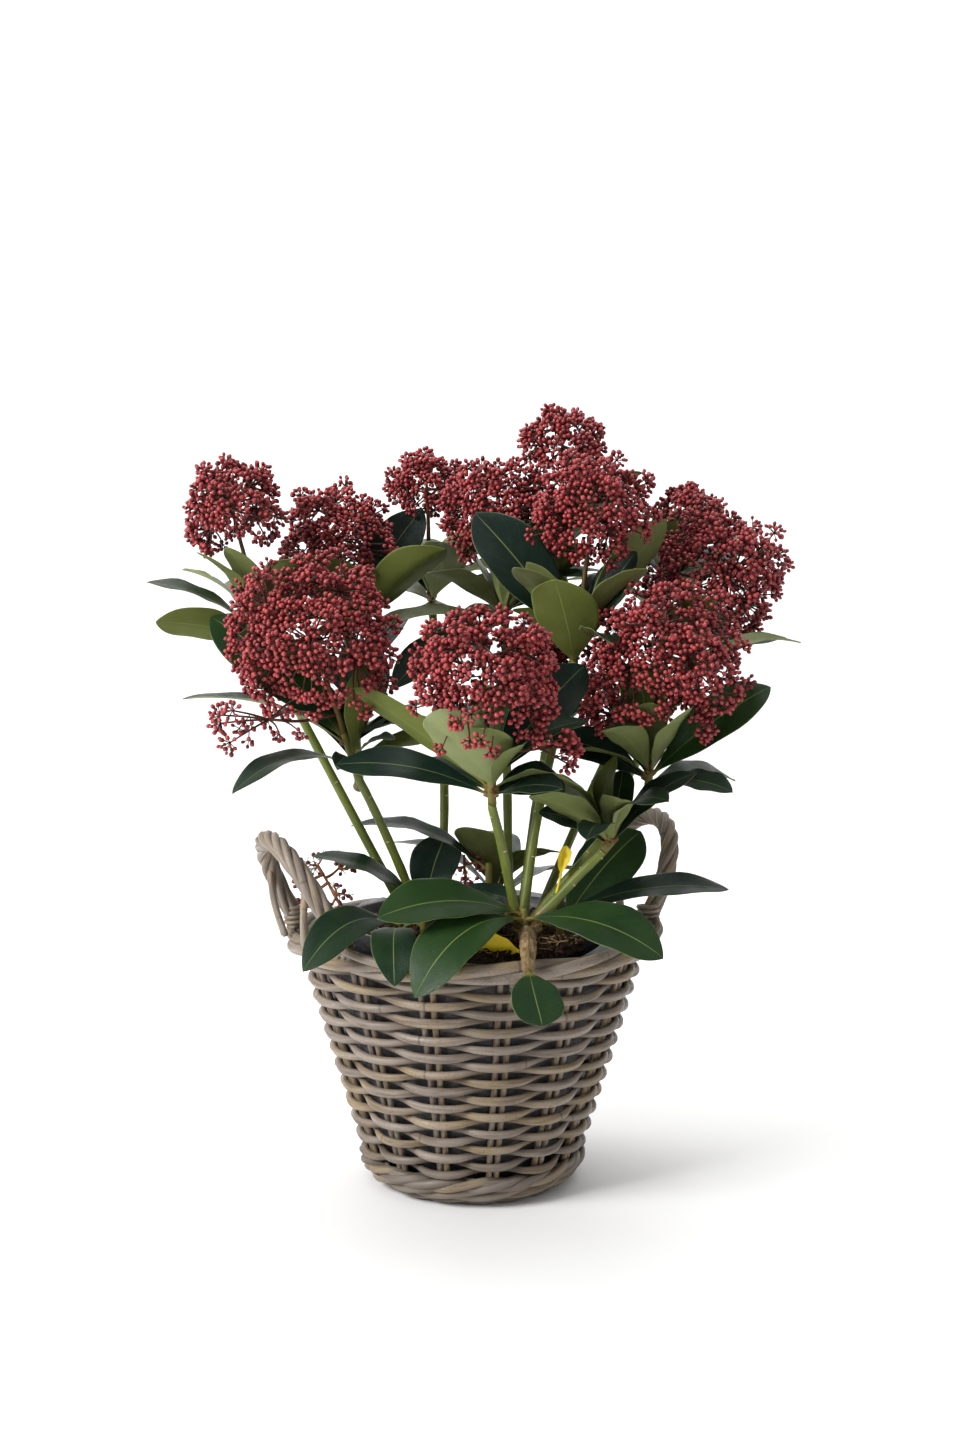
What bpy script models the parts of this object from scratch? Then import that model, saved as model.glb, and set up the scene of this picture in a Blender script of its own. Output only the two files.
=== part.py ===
"""A young skimmia in bud, in a nursery pot inside a woven rattan basket with two rope handles.

The basket stands on z = 0 with its middle at the origin and a handle on each side along X.
The plant is laid out as it is seen from its show side, in millimetres, x to the right, y away
and z up, and the whole layout is then turned about Z by PLANT_TURN.
"""

import math
import random
from typing import NamedTuple

import bmesh
import bpy
from mathutils import Matrix, Vector
from mathutils.bvhtree import BVHTree

MM = 0.001
GAP = 0.3 * MM
CLEAR = 0.35 * MM
PLANT_TURN = math.radians(-24.0)
GOLDEN_ANGLE = 137.508

# Basket
TURN_STEPS = 28
BASE_RADIUS = 62.0 * MM
BASE_EDGE_RADIUS = 81.5 * MM
BASE_FLOOR = 12.0 * MM
WALL_BOTTOM = 22.0 * MM
WALL_TOP = 170.1 * MM
WALL_BOTTOM_RADIUS = 77.5 * MM
WALL_TOP_RADIUS = 122.0 * MM
WALL_THICKNESS = 8.0 * MM
WEAVE_ROWS = 24
WEAVE_DEPTH = 3.5 * MM
RIM_RADIUS = 128.5 * MM
RIM_HEIGHT = 178.0 * MM
RIM_ROD = 7.6 * MM
RIM_ROLL = 0.6 * MM

# Handles
HANDLE_SPREAD = math.radians(23.5)
HANDLE_FOOT = RIM_HEIGHT + RIM_ROD + GAP
HANDLE_SOLE = 3.0 * MM
HANDLE_RISE = 70.0 * MM
HANDLE_LEAN = 34.0 * MM
ROPE_RADIUS = 6.2 * MM
ROPE_LOBES = 4
ROPE_TWIST = math.radians(900.0)
STRUT_RADIUS = 2.6 * MM

# Inside the basket
LINER_THICKNESS = 1.0 * MM
LINER_TOP = 187.0 * MM
LINER_BOTTOM = 24.0 * MM
LINER_INSET = 9.0 * MM
POT_BOTTOM_RADIUS = 61.0 * MM
POT_TOP_RADIUS = 92.0 * MM
POT_LIP_RADIUS = 97.0 * MM
POT_LIP_HEIGHT = 12.0 * MM
POT_TOP = 190.0 * MM
POT_THICKNESS = 1.6 * MM
SOIL_EDGE = 182.0 * MM
SOIL_MIDDLE = 187.0 * MM

# Plant
STEM_FOOT_RADIUS = 3.6 * MM
STEM_TIP_RADIUS = 2.9 * MM
TWIG_RADIUS = 2.9 * MM
STALK_RADIUS = 2.3 * MM
BRANCH_RADIUS = 1.3 * MM
LEAF_THICKNESS = 1.3 * MM
LEAF_ROOT = 1.2 * MM
LEAF_INSET = 1.1 * MM
LEAF_STATIONS = ((0.0, 0.0), (0.28, 0.5), (0.62, 1.0), (0.88, 0.56))
KNUCKLE = (38.0, -74.0, 200.0)
KNUCKLE_RADIUS = 11.5 * MM
STUB_BEND = (37.5, -121.0, 192.6)
STUB_END = (37.0, -142.0, 184.0)
FALLEN_PLACE = (30.0, -90.0, 191.0)


class Shoot(NamedTuple):
    """One green shoot: its stem, its whorl of leaves and the flower head above them."""

    name: str
    foot: tuple
    bow: tuple
    whorl: tuple
    crown: tuple
    twig: float
    spread: float
    sides: int
    filler: int
    lobes: tuple = ()


class Leaf(NamedTuple):
    """One leaf that the show side shows: where it sits on its twig and how it is held."""

    rise: float
    heading: float
    lift: float
    length: float
    width: float
    roll: float = 0.0
    arch: float = 6.0
    fold: float = 0.16


# The low side lobes of a flower head: heading, lift and length of each.
HIGH_LEFT = ((175, 5, 62),)
LOW_LEFT = ((-150, -2, 88), (-60, 12, 80))
LOW_RIGHT = ((165, 24, 76), (-20, 8, 74))
LOW_FRONT = ((-10, 2, 58),)

# A crown of None marks a shoot that carries leaves only.
SHOOTS = (
    Shoot("left_back", (-46, -2, 0), (-4, -10, 0), (-146, 0, 384), (-178, -10, 518), 16, 36, 7, 5, HIGH_LEFT),
    Shoot("left_front", (-36, -14, 0), (0, 0, 0), (-80, -42, 300), (-122, -85, 443), 32, 60, 9, 2, LOW_LEFT),
    Shoot("back_left", (-79.4, -33.8, 290), (0, 6, 0), (-94, 58, 388), (-103, 60, 504), 18, 45, 7, 4),
    Shoot("back_mid", (-24, 14, 0), (6, -12, 0), (-31, 96, 412), (-37, 100, 533), 18, 30, 6, 6),
    Shoot("top", (66, -24, 336), (8, 0, 0), (66, 58, 448), (68, 55, 562), 18, 31, 6, 6),
    Shoot("mid", (27, 4, 0), (0, 0, 0), (24, 28, 402), (18, 20, 520), 18, 41, 7, 5),
    Shoot("mid_right", (0, 0, 1), (-3, 0, 0), (71, -30, 370), (89, -30, 521), 32, 45, 7, 1),
    Shoot("right_top", (49, 14, 0), (0, -6, 0), (160, 84, 412), (165, 90, 507), 14, 25, 5, 6),
    Shoot("right_back", (57, 5, 0), (0, -4, 0), (156, 16, 360), (188, 15, 484), 18, 50, 8, 5),
    Shoot("right_front", (0, 0, 3), (0, 0, 0), (122, -52, 288), (133, -70, 427), 26, 58, 9, 1, LOW_RIGHT),
    Shoot("right_low", (0, 0, 2), (0, 0, 0), (90, -72, 250), None, 12, 0, 0, 0),
    Shoot("front", (0, 0, 0), (0, 0, 0), (14, -98, 286), (6, -142, 411), 26, 48, 8, 1, LOW_FRONT),
    Shoot("inner", (36, 0, 0), (0, 0, 0), (52, -2, 312), (47, 0, 401), 14, 29, 5, 3),
)

# Where the stems stand on the knuckle: angle about its middle.
KNUCKLE_PLACES = {"front": 180.0, "mid_right": 108.0, "right_front": 36.0, "right_low": -36.0}
KNUCKLE_TWIG = 252.0
KNUCKLE_CIRCLE = 7.4

# Short leafy twigs that stand low among the stems: foot, top, number of filler leaves.
LOW_TWIGS = {
    "foot": (None, 12.0, 0),
    "low_left": ((-50, -67, 0), 18.0, 1),
    "low_mid": ((-34, -30, 0), 26.0, 0),
    "low_inner": ((12, -14, 0), 46.0, 0),
    "low_right": ((62, -44, 0), 20.0, 0),
    "low_back": ((18, 36, 0), 24.0, 5),
}

LEAVES = {
    "left_back": (
        Leaf(9, -162, 27, 92, 30, -15, 8),
        Leaf(5, -150, 12, 84, 28, 50, 4),
    ),
    "left_front": (
        Leaf(27, 168, 42, 128, 46, -50, 5),
        Leaf(23, -168, 17, 116, 30, 0, 12),
        Leaf(6, -141, -6, 98, 28, -10, 15),
        Leaf(12, -36, 26, 40, 15, 20, 5),
        Leaf(9, -100, 2, 42, 15, -20, 5),
        Leaf(14, 80, 41, 84, 27, 0, 5),
    ),
    "back_left": (
        Leaf(6, -98, 55, 70, 36, 0, 2),
        Leaf(9, -28, 36, 104, 36, -35, 3, 0.5),
        Leaf(12, 24, 56, 108, 36, 60, 3),
    ),
    "front": (
        Leaf(6, 174, 11, 106, 30, -35, 8),
        Leaf(12, 178, 37, 112, 22, 50, 2),
        Leaf(9, 139, 9, 80, 30, -20, 6),
        Leaf(15, -128, 46, 74, 47, 8, -3),
        Leaf(6, -42, 10, 60, 22, 30, 4),
        Leaf(9, 20, 4, 52, 32, 40, 4),
        Leaf(18, 30, 46, 104, 38, 52, 3, 0.5),
    ),
    "mid_right": (
        Leaf(8, -108, 50, 76, 46, 0, -3),
        Leaf(22, 176, 52, 114, 46, -62, 3),
        Leaf(16, 12, 55, 112, 38, -55, 3),
        Leaf(12, -14, 60, 84, 34, 50, 3),
    ),
    "top": (Leaf(8, -20, 45, 66, 30, 20, 4),),
    "right_back": (
        Leaf(9, 2, 20, 74, 24, 15, 5),
        Leaf(6, -172, -8, 66, 24, -15, 8),
    ),
    "right_front": (
        Leaf(12, -7, 38, 102, 38, 50, 4),
        Leaf(7, -42, 0, 68, 24, 25, 5),
        Leaf(6, 42, -2, 92, 26, 20, 8),
        Leaf(18, 99, 62, 84, 34, 0, 4),
        Leaf(9, 174, 24, 72, 32, -40, 5),
    ),
    "right_low": (
        Leaf(9, -46, 34, 58, 36, 15, 14, 0.1),
        Leaf(6, -168, 28, 54, 26, -30, 4),
        Leaf(8, 70, 58, 56, 22, 0, 4),
    ),
    "foot": (
        Leaf(8, -158, 3, 104, 44, -28, 10),
        Leaf(5, -137, -20, 104, 42, -20, 18),
        Leaf(5, -28, -9, 102, 42, 26, 11),
    ),
    "low_left": (
        Leaf(14, -130, -9, 92, 30, -35, 18),
        Leaf(10, -90, -17, 70, 30, 0, 17),
    ),
    "low_mid": (
        Leaf(18, 183, 27, 86, 28, -15, 8),
        Leaf(12, -24, 10, 76, 26, 15, 12),
        Leaf(14, 70, 50, 66, 36, 10, 3),
    ),
    "low_inner": (Leaf(41, 172, 18, 104, 26, -10, 12),),
    "low_right": (
        Leaf(9, 30, 44, 92, 42, 50, 3),
        Leaf(18, -3, 10, 118, 30, 22, 8),
    ),
}

# Dead flower heads low in the plant: foot, top, spread, side branches.
DRIED = {
    "left": ((-84, -22, 0), (-112, -26, 238), 24, 5),
    "mid": ((-4, -2, 0), (-6, -4, 242), 17, 5),
}


class Finish(NamedTuple):
    """The colour and surface of one kind of material."""

    name: str
    colour: tuple
    roughness: float


RATTAN = Finish("rattan", (0.26, 0.20, 0.15, 1.0), 0.75)
LINER = Finish("grey_liner", (0.31, 0.31, 0.34, 1.0), 0.5)
POT = Finish("dark_pot", (0.02, 0.022, 0.028, 1.0), 0.45)
SOIL = Finish("peat", (0.035, 0.022, 0.014, 1.0), 0.95)
BARK = Finish("bark", (0.26, 0.17, 0.09, 1.0), 0.85)
GREEN_STEM = Finish("green_stem", (0.20, 0.26, 0.03, 1.0), 0.5)
LEAF_GREEN = Finish("leaf", (0.03, 0.09, 0.03, 1.0), 0.4)
BUD_RED = Finish("bud", (0.42, 0.035, 0.045, 1.0), 0.5)
DRY_TAN = Finish("dried", (0.33, 0.15, 0.05, 1.0), 0.8)
YELLOW = Finish("yellow_leaf", (0.75, 0.55, 0.02, 1.0), 0.5)


def clear_scene():
    """Take away whatever the scene holds, and make the collection that the parts go in."""
    for old in list(bpy.data.objects):
        bpy.data.objects.remove(old)
    parts = bpy.data.collections.new("potted_skimmia")
    bpy.context.scene.collection.children.link(parts)


def material(finish):
    """The material of one finish, made once."""
    found = bpy.data.materials.get(finish.name)
    if found:
        return found
    made = bpy.data.materials.new(finish.name)
    made.use_nodes = True
    shader = made.node_tree.nodes["Principled BSDF"]
    shader.inputs["Base Color"].default_value = finish.colour
    shader.inputs["Roughness"].default_value = finish.roughness
    made.diffuse_color = finish.colour
    return made


def place(name, mesh, finish):
    """Put a finished solid into the parts' collection under its node name."""
    mesh.materials.clear()
    mesh.materials.append(material(finish))
    obj = bpy.data.objects.new(name, mesh)
    bpy.data.collections["potted_skimmia"].objects.link(obj)
    return obj


def loose(mesh):
    """An object that is only an ingredient of a solid still to be made."""
    obj = bpy.data.objects.new("ingredient", mesh)
    bpy.context.scene.collection.objects.link(obj)
    return obj


def settled(obj):
    """The mesh of an object with its modifiers applied. The object itself goes."""
    bpy.context.view_layer.update()
    graph = bpy.context.evaluated_depsgraph_get()
    mesh = bpy.data.meshes.new_from_object(obj.evaluated_get(graph))
    mesh.transform(obj.matrix_world)
    bpy.data.objects.remove(obj)
    return mesh


def spot(point):
    """A point of the plant's layout in millimetres, turned into the part's frame in metres."""
    return Matrix.Rotation(PLANT_TURN, 3, "Z") @ Vector(point) * MM


def aim(heading, lift):
    """The direction with this heading and lift above level, both in degrees in the plant's layout."""
    turn = math.radians(heading) + PLANT_TURN
    rise = math.radians(lift)
    return Vector((math.cos(turn) * math.cos(rise), math.sin(turn) * math.cos(rise), math.sin(rise)))


# Turned solids


def turned(name, profile, finish, closed):
    """Screw a profile of (radius, height) about Z. A closed profile makes a ring."""
    mesh = bpy.data.meshes.new(name)
    last = len(profile) - 1
    edges = [(k, k + 1) for k in range(last)]
    if closed:
        edges.append((last, 0))
    edges = [edge for edge in edges if profile[edge[0]][0] or profile[edge[1]][0]]
    mesh.from_pydata([(radius, 0.0, height) for radius, height in profile], edges, [])
    obj = loose(mesh)
    screw = obj.modifiers.new("turn", "SCREW")
    screw.axis = "Z"
    screw.angle = 2.0 * math.pi
    screw.steps = TURN_STEPS
    screw.render_steps = TURN_STEPS
    screw.use_merge_vertices = True
    screw.merge_threshold = 0.00001
    return place(name, outward(settled(obj)), finish)


def outward(mesh):
    """Weld a closed mesh and turn its faces outward."""
    shape = bmesh.new()
    shape.from_mesh(mesh)
    bmesh.ops.remove_doubles(shape, verts=shape.verts, dist=0.00001)
    return baked(shape)


def baked(shape):
    """A mesh of triangles that face outward, from a closed shape. The shape itself goes."""
    bmesh.ops.recalc_face_normals(shape, faces=shape.faces)
    bmesh.ops.triangulate(shape, faces=shape.faces)
    mesh = bpy.data.meshes.new("solid")
    shape.to_mesh(mesh)
    shape.free()
    return mesh


def wall_radius(height):
    """The middle radius of the woven wall, which widens upward."""
    share = (height - WALL_BOTTOM) / (WALL_TOP - WALL_BOTTOM)
    return WALL_BOTTOM_RADIUS + share * (WALL_TOP_RADIUS - WALL_BOTTOM_RADIUS)


def basket_wall():
    """The wall: each woven row bulges out past one stake and in past the next, turn about."""
    pitch = (WALL_TOP - WALL_BOTTOM) / WEAVE_ROWS
    heights = [WALL_TOP - (row + 0.5) * pitch for row in range(WEAVE_ROWS)]
    profile = [(RIM_RADIUS - 0.5 * MM, WALL_TOP)]
    profile += [(wall_radius(height), height) for height in heights]
    profile.append((wall_radius(WALL_BOTTOM) - 1.0 * MM, WALL_BOTTOM))
    for height in (WALL_BOTTOM, 0.5 * (WALL_BOTTOM + WALL_TOP), WALL_TOP):
        profile.append((wall_radius(height) - WALL_THICKNESS, height))
    wall = turned("basket_wall", profile, RATTAN, True)
    for vertex in wall.data.vertices:
        x, y, height = vertex.co
        radius = math.hypot(x, y)
        row = round((WALL_TOP - height) / pitch - 0.5)
        on_row = 0 <= row < WEAVE_ROWS and abs(height - heights[row]) < 0.1 * MM
        if not on_row or radius < wall_radius(height) - 0.5 * WALL_THICKNESS:
            continue
        column = round(math.atan2(y, x) / (2.0 * math.pi) * TURN_STEPS)
        if column % 2:
            continue
        way = 1.0 if (column // 2 + row) % 2 else -1.0
        scale = (radius + way * WEAVE_DEPTH) / radius
        vertex.co.x = x * scale
        vertex.co.y = y * scale
    return wall


def basket_rim():
    """The rolled border: a ring whose section turns as it goes round, like laid rods."""
    around = [2.0 * math.pi * k / 8 for k in range(8)]
    profile = [(RIM_RADIUS + RIM_ROD * math.cos(a), RIM_HEIGHT - RIM_ROD * math.sin(a)) for a in around]
    rim = turned("basket_rim", profile, RATTAN, True)
    for vertex in rim.data.vertices:
        turn = math.atan2(vertex.co.y, vertex.co.x)
        centre = Vector((math.cos(turn) * RIM_RADIUS, math.sin(turn) * RIM_RADIUS, RIM_HEIGHT))
        out = vertex.co - centre
        round_section = math.atan2(out.z, math.hypot(vertex.co.x, vertex.co.y) - RIM_RADIUS)
        ripple = -RIM_ROLL * (0.5 + 0.5 * math.cos(2.0 * round_section + 7.0 * turn))
        vertex.co = centre + out.normalized() * (RIM_ROD + ripple)
    return rim


def basket_base():
    """The floor and the foot border, flat underneath from the middle to BASE_RADIUS."""
    profile = [
        (0.0, BASE_FLOOR),
        (BASE_EDGE_RADIUS - 11.5 * MM, BASE_FLOOR),
        (BASE_EDGE_RADIUS - 8.5 * MM, WALL_BOTTOM - GAP),
        (BASE_EDGE_RADIUS, WALL_BOTTOM - GAP),
        (BASE_EDGE_RADIUS - 2.0 * MM, 13.0 * MM),
        (BASE_EDGE_RADIUS - 9.0 * MM, 4.5 * MM),
        (BASE_RADIUS, 0.0),
        (0.0, 0.0),
    ]
    return turned("basket_base", profile, RATTAN, False)


def liner():
    """The thin plastic foil that stands inside the wall and shows above the border."""
    outer = [(wall_radius(height) - LINER_INSET, height) for height in (LINER_TOP, WALL_TOP, LINER_BOTTOM)]
    inner = [(radius - LINER_THICKNESS, height) for radius, height in reversed(outer)]
    return turned("basket_liner", outer + inner, LINER, True)


def nursery_pot():
    """The plastic pot that the plant grows in, with a lip round its top."""
    floor = BASE_FLOOR + GAP
    lip = POT_TOP - POT_LIP_HEIGHT
    profile = [
        (POT_LIP_RADIUS, POT_TOP),
        (POT_LIP_RADIUS, lip),
        (POT_TOP_RADIUS + POT_THICKNESS, lip),
        (POT_BOTTOM_RADIUS + POT_THICKNESS, floor),
        (0.0, floor),
        (0.0, floor + POT_THICKNESS),
        (POT_BOTTOM_RADIUS, floor + POT_THICKNESS),
        (POT_TOP_RADIUS, lip + 1.0 * MM),
        (POT_TOP_RADIUS + 1.5 * MM, POT_TOP),
    ]
    return turned("nursery_pot", profile, POT, True)


def pot_bore(height):
    """The inner radius of the nursery pot at a height."""
    bottom = BASE_FLOOR + GAP + POT_THICKNESS
    share = (height - bottom) / (POT_TOP - POT_LIP_HEIGHT + 1.0 * MM - bottom)
    return POT_BOTTOM_RADIUS + min(share, 1.0) * (POT_TOP_RADIUS - POT_BOTTOM_RADIUS)


def soil_height(x, y):
    """The height of the soil under a point of the plant's layout, both in millimetres."""
    share = min(math.hypot(x, y) * MM / POT_TOP_RADIUS, 1.0)
    return (SOIL_MIDDLE + (SOIL_EDGE - SOIL_MIDDLE) * share) / MM


def soil():
    """The peat that fills the nursery pot, a little heaped in the middle."""
    bottom = BASE_FLOOR + GAP + POT_THICKNESS + GAP
    shoulder = POT_TOP - POT_LIP_HEIGHT - 1.0 * MM
    profile = [
        (0.0, SOIL_MIDDLE),
        (POT_TOP_RADIUS - 1.0 * MM, SOIL_EDGE),
        (pot_bore(shoulder) - 2.0 * GAP, shoulder),
        (pot_bore(bottom) - 2.0 * GAP, bottom),
        (0.0, bottom),
    ]
    return turned("soil", profile, SOIL, False)


# Curved limbs


def swept(points, radii, sides, section=None, twist=0.0):
    """A tube along points, as a mesh with welded caps. The section, when given, is a curve object."""
    curve = bpy.data.curves.new("limb", "CURVE")
    curve.dimensions = "3D"
    curve.use_fill_caps = True
    curve.twist_mode = "MINIMUM"
    if section:
        curve.bevel_mode = "OBJECT"
        curve.bevel_object = section
    else:
        curve.bevel_mode = "ROUND"
        curve.bevel_depth = 1.0
        curve.bevel_resolution = (sides - 4) // 2
    spline = curve.splines.new("POLY")
    spline.points.add(len(points) - 1)
    for k, (point, radius) in enumerate(zip(points, radii)):
        spline.points[k].co = (*point, 1.0)
        spline.points[k].radius = radius
        spline.points[k].tilt = twist * k / (len(points) - 1)
    mesh = outward(settled(loose(curve)))
    bpy.data.curves.remove(curve)
    return mesh


def rope_section():
    """The lobed outline of a rope of twisted rods."""
    curve = bpy.data.curves.new("rope", "CURVE")
    curve.dimensions = "2D"
    spline = curve.splines.new("POLY")
    count = 2 * ROPE_LOBES
    spline.points.add(count - 1)
    spline.use_cyclic_u = True
    for k in range(count):
        radius = ROPE_RADIUS * (1.0 if k % 2 == 0 else 0.8)
        turn = 2.0 * math.pi * k / count
        spline.points[k].co = (radius * math.cos(turn), radius * math.sin(turn), 0.0, 1.0)
    return loose(curve)


def handle(name, side):
    """One rope handle: an arch that leans outward, with two rods laced across each leg."""
    steps = 16
    points = []
    for k in range(steps + 1):
        turn = math.pi * k / steps
        across = math.sin(HANDLE_SPREAD) * RIM_RADIUS * math.cos(turn)
        rise = math.sin(turn) ** 0.72
        out = math.cos(HANDLE_SPREAD) * RIM_RADIUS + HANDLE_LEAN * rise
        height = HANDLE_FOOT + HANDLE_SOLE + (HANDLE_RISE - HANDLE_SOLE) * rise
        points.append(Vector((side * out, across, height)))
    points.insert(0, Vector((points[0].x, points[0].y, HANDLE_FOOT)))
    points.append(Vector((points[-1].x, points[-1].y, HANDLE_FOOT)))
    section = rope_section()
    arch = swept(points, [1.0] * len(points), 8, section, ROPE_TWIST)
    bpy.data.objects.remove(section)
    pieces = [loose(arch)]
    for way in (-1.0, 1.0):
        leg = points[4] if way > 0 else points[-5]
        foot = Vector((leg.x - side * 5.0 * MM, leg.y - way * 20.0 * MM, HANDLE_FOOT + 3.2 * MM))
        pieces.append(loose(rod(foot, leg, STRUT_RADIUS, STRUT_RADIUS, 5)))
    return fuse(name, pieces, RATTAN)


# Straight pieces


def rod(start, end, radius_1, radius_2, sides):
    """A straight tapering rod from start to end, as a mesh."""
    shape = bmesh.new()
    along = end - start
    turn = along.to_track_quat("Z", "Y").to_matrix().to_4x4()
    middle = Matrix.Translation((start + end) / 2.0)
    bmesh.ops.create_cone(
        shape,
        cap_ends=True,
        cap_tris=False,
        segments=sides,
        radius1=radius_1,
        radius2=radius_2,
        depth=along.length,
        matrix=middle @ turn,
    )
    return baked(shape)


def spray(branch, bead, extra=0.0):
    """A side branch that forks into four clusters of buds: one straight on and three round it."""
    shape = bmesh.new()
    ahead = branch.ahead
    joint = branch.joint - ahead * extra
    rings = []
    for centre, radius in (
        (joint, BRANCH_RADIUS + extra),
        (branch.fork - ahead * BRANCH_RADIUS, BRANCH_RADIUS + extra),
        (branch.fork + ahead * BRANCH_RADIUS, BRANCH_RADIUS + extra),
    ):
        corners = []
        for k in range(3):
            turn = Matrix.Rotation(math.radians(120.0 * k - 60.0), 3, ahead)
            corners.append(shape.verts.new(centre + turn @ branch.side * radius))
        rings.append(corners)
    shape.faces.new(rings[0])
    for k in range(3):
        shape.faces.new((rings[0][k], rings[0][(k + 1) % 3], rings[1][(k + 1) % 3], rings[1][k]))
    sides = [(rings[1][k], rings[1][(k + 1) % 3], rings[2][(k + 1) % 3], rings[2][k]) for k in range(3)]
    roots = [rings[2], *sides]
    for root, place in zip(roots, branch.places):
        cluster(shape, root, place, bead + extra)
    return baked(shape)


def cluster(shape, root, place, radius):
    """A cluster of buds: it widens from the root's corners to a ring round place, and is domed."""
    middle = sum((corner.co for corner in root), Vector()) / len(root)
    along = (place - middle).normalized()
    ring = []
    for corner in root:
        offset = corner.co - middle
        offset = (offset - along * offset.dot(along)).normalized()
        ring.append(shape.verts.new(place + offset * radius))
    tip = shape.verts.new(place + along * radius * 0.7)
    for k in range(len(root)):
        following = (k + 1) % len(root)
        shape.faces.new((root[k], root[following], ring[following], ring[k]))
        shape.faces.new((ring[k], ring[following], tip))


def leaf_mesh(root, leaf, extra=0.0):
    """One leaf as a thin loft: a narrow root, a blade widest beyond its middle, and a tip."""
    length = leaf.length * MM + extra
    half = 0.5 * leaf.width * MM
    ahead = aim(leaf.heading, leaf.lift)
    level = aim(leaf.heading + 90.0, 0.0)
    up = ahead.cross(level)
    turn = Matrix.Rotation(math.radians(leaf.roll), 3, ahead)
    across = turn @ level
    face = turn @ up
    shape = bmesh.new()
    rings = []
    for share, width in LEAF_STATIONS:
        wide = LEAF_ROOT + (half - LEAF_ROOT) * width + extra
        bow = 4.0 * leaf.arch * MM * share * (1.0 - share)
        middle = root + ahead * (length * share) + up * bow
        rise = leaf.fold * wide * width
        thick = 0.5 * LEAF_THICKNESS + extra
        corners = (
            middle + across * wide + face * rise,
            middle + face * thick,
            middle - across * wide + face * rise,
            middle - face * thick,
        )
        rings.append([shape.verts.new(corner) for corner in corners])
    tip = shape.verts.new(root + ahead * length)
    for lower, upper in zip(rings, rings[1:]):
        for k in range(4):
            shape.faces.new((lower[k], lower[(k + 1) % 4], upper[(k + 1) % 4], upper[k]))
    for k in range(4):
        shape.faces.new((rings[-1][k], rings[-1][(k + 1) % 4], tip))
    shape.faces.new(rings[0])
    return baked(shape)


# Room between the solids


class Room:
    """The solids that already stand, so that a new piece keeps clear of every other node."""

    def __init__(self):
        self.taken = []

    def claim(self, owner, mesh):
        """Remember a piece as part of the node called owner."""
        self.taken.append((owner, *self.outline(mesh)))

    def is_free(self, owner, mesh):
        """Whether a piece of the node called owner meets no other node."""
        low, high, tree = self.outline(mesh)
        for other, other_low, other_high, other_tree in self.taken:
            if other == owner:
                continue
            if any(low[k] > other_high[k] or high[k] < other_low[k] for k in range(3)):
                continue
            if tree.overlap(other_tree):
                return False
        return True

    @staticmethod
    def outline(mesh):
        """The low corner, the high corner and the search tree of a mesh."""
        points = [vertex.co.copy() for vertex in mesh.vertices]
        low = [min(point[k] for point in points) for k in range(3)]
        high = [max(point[k] for point in points) for k in range(3)]
        return low, high, BVHTree.FromPolygons(points, [tuple(face.vertices) for face in mesh.polygons])


def fuse(name, pieces, finish):
    """Join loose pieces into one solid and keep its one main body."""
    first, others = pieces[0], pieces[1:]
    if others:
        gather = bpy.data.collections.new(name + "_pieces")
        bpy.context.scene.collection.children.link(gather)
        for piece in others:
            gather.objects.link(piece)
        join = first.modifiers.new("join", "BOOLEAN")
        join.operation = "UNION"
        join.operand_type = "COLLECTION"
        join.collection = gather
        join.solver = "EXACT"
    mesh = settled(first)
    if others:
        for piece in others:
            bpy.data.objects.remove(piece)
        bpy.data.collections.remove(gather)
    keep_main_body(mesh)
    return place(name, mesh, finish)


def shorter(leaf):
    """The same leaf at a smaller size."""
    return leaf._replace(length=0.8 * leaf.length, width=0.8 * leaf.width)


def keep_main_body(mesh):
    """Drop every island but the largest."""
    shape = bmesh.new()
    shape.from_mesh(mesh)
    left = set(shape.faces)
    islands = []
    while left:
        start = left.pop()
        island = {start}
        edge_of_search = [start]
        while edge_of_search:
            face = edge_of_search.pop()
            for edge in face.edges:
                for other in edge.link_faces:
                    if other in left:
                        left.discard(other)
                        island.add(other)
                        edge_of_search.append(other)
        islands.append(island)
    islands.sort(key=len, reverse=True)
    for island in islands[1:]:
        bmesh.ops.delete(shape, geom=list(island), context="FACES")
    bmesh.ops.triangulate(shape, faces=shape.faces)
    shape.to_mesh(mesh)
    shape.free()


# Plant


def stem_foot(shoot):
    """Where a shoot's stem starts: on the knuckle, on the soil, or high up beside another stem."""
    x, y, z = shoot.foot
    if shoot.name in KNUCKLE_PLACES:
        turn = math.radians(KNUCKLE_PLACES[shoot.name])
        return (
            KNUCKLE[0] + KNUCKLE_CIRCLE * math.cos(turn),
            KNUCKLE[1] + KNUCKLE_CIRCLE * math.sin(turn),
            KNUCKLE[2] + GAP / MM,
        )
    if z == 0:
        return (x, y, soil_height(x, y) + 2.0 * GAP / MM)
    return (x, y, z)


def stem_path(shoot):
    """The points of a shoot's stem: upright for a little, then out to its whorl in a slight bow."""
    foot = Vector(stem_foot(shoot))
    whorl = Vector(shoot.whorl)
    bow = Vector(shoot.bow)
    ahead = shoot_ahead(shoot)
    points = [spot(foot), spot(foot + Vector((0.0, 0.0, 4.0)))]
    for share in (0.35, 0.7):
        point = foot.lerp(whorl, share)
        level = share ** 1.15
        point.x = foot.x + (whorl.x - foot.x) * level
        point.y = foot.y + (whorl.y - foot.y) * level
        points.append(spot(point + bow * 4.0 * share * (1.0 - share)))
    points.append(spot(whorl) - ahead * 4.0 * MM)
    points.append(spot(whorl))
    return points


def stem(shoot):
    """The green stem of one shoot, tapering to its whorl."""
    points = stem_path(shoot)
    last = len(points) - 1
    radii = [STEM_FOOT_RADIUS + (STEM_TIP_RADIUS - STEM_FOOT_RADIUS) * k / last for k in range(last + 1)]
    return swept(points, radii, 6)


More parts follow.
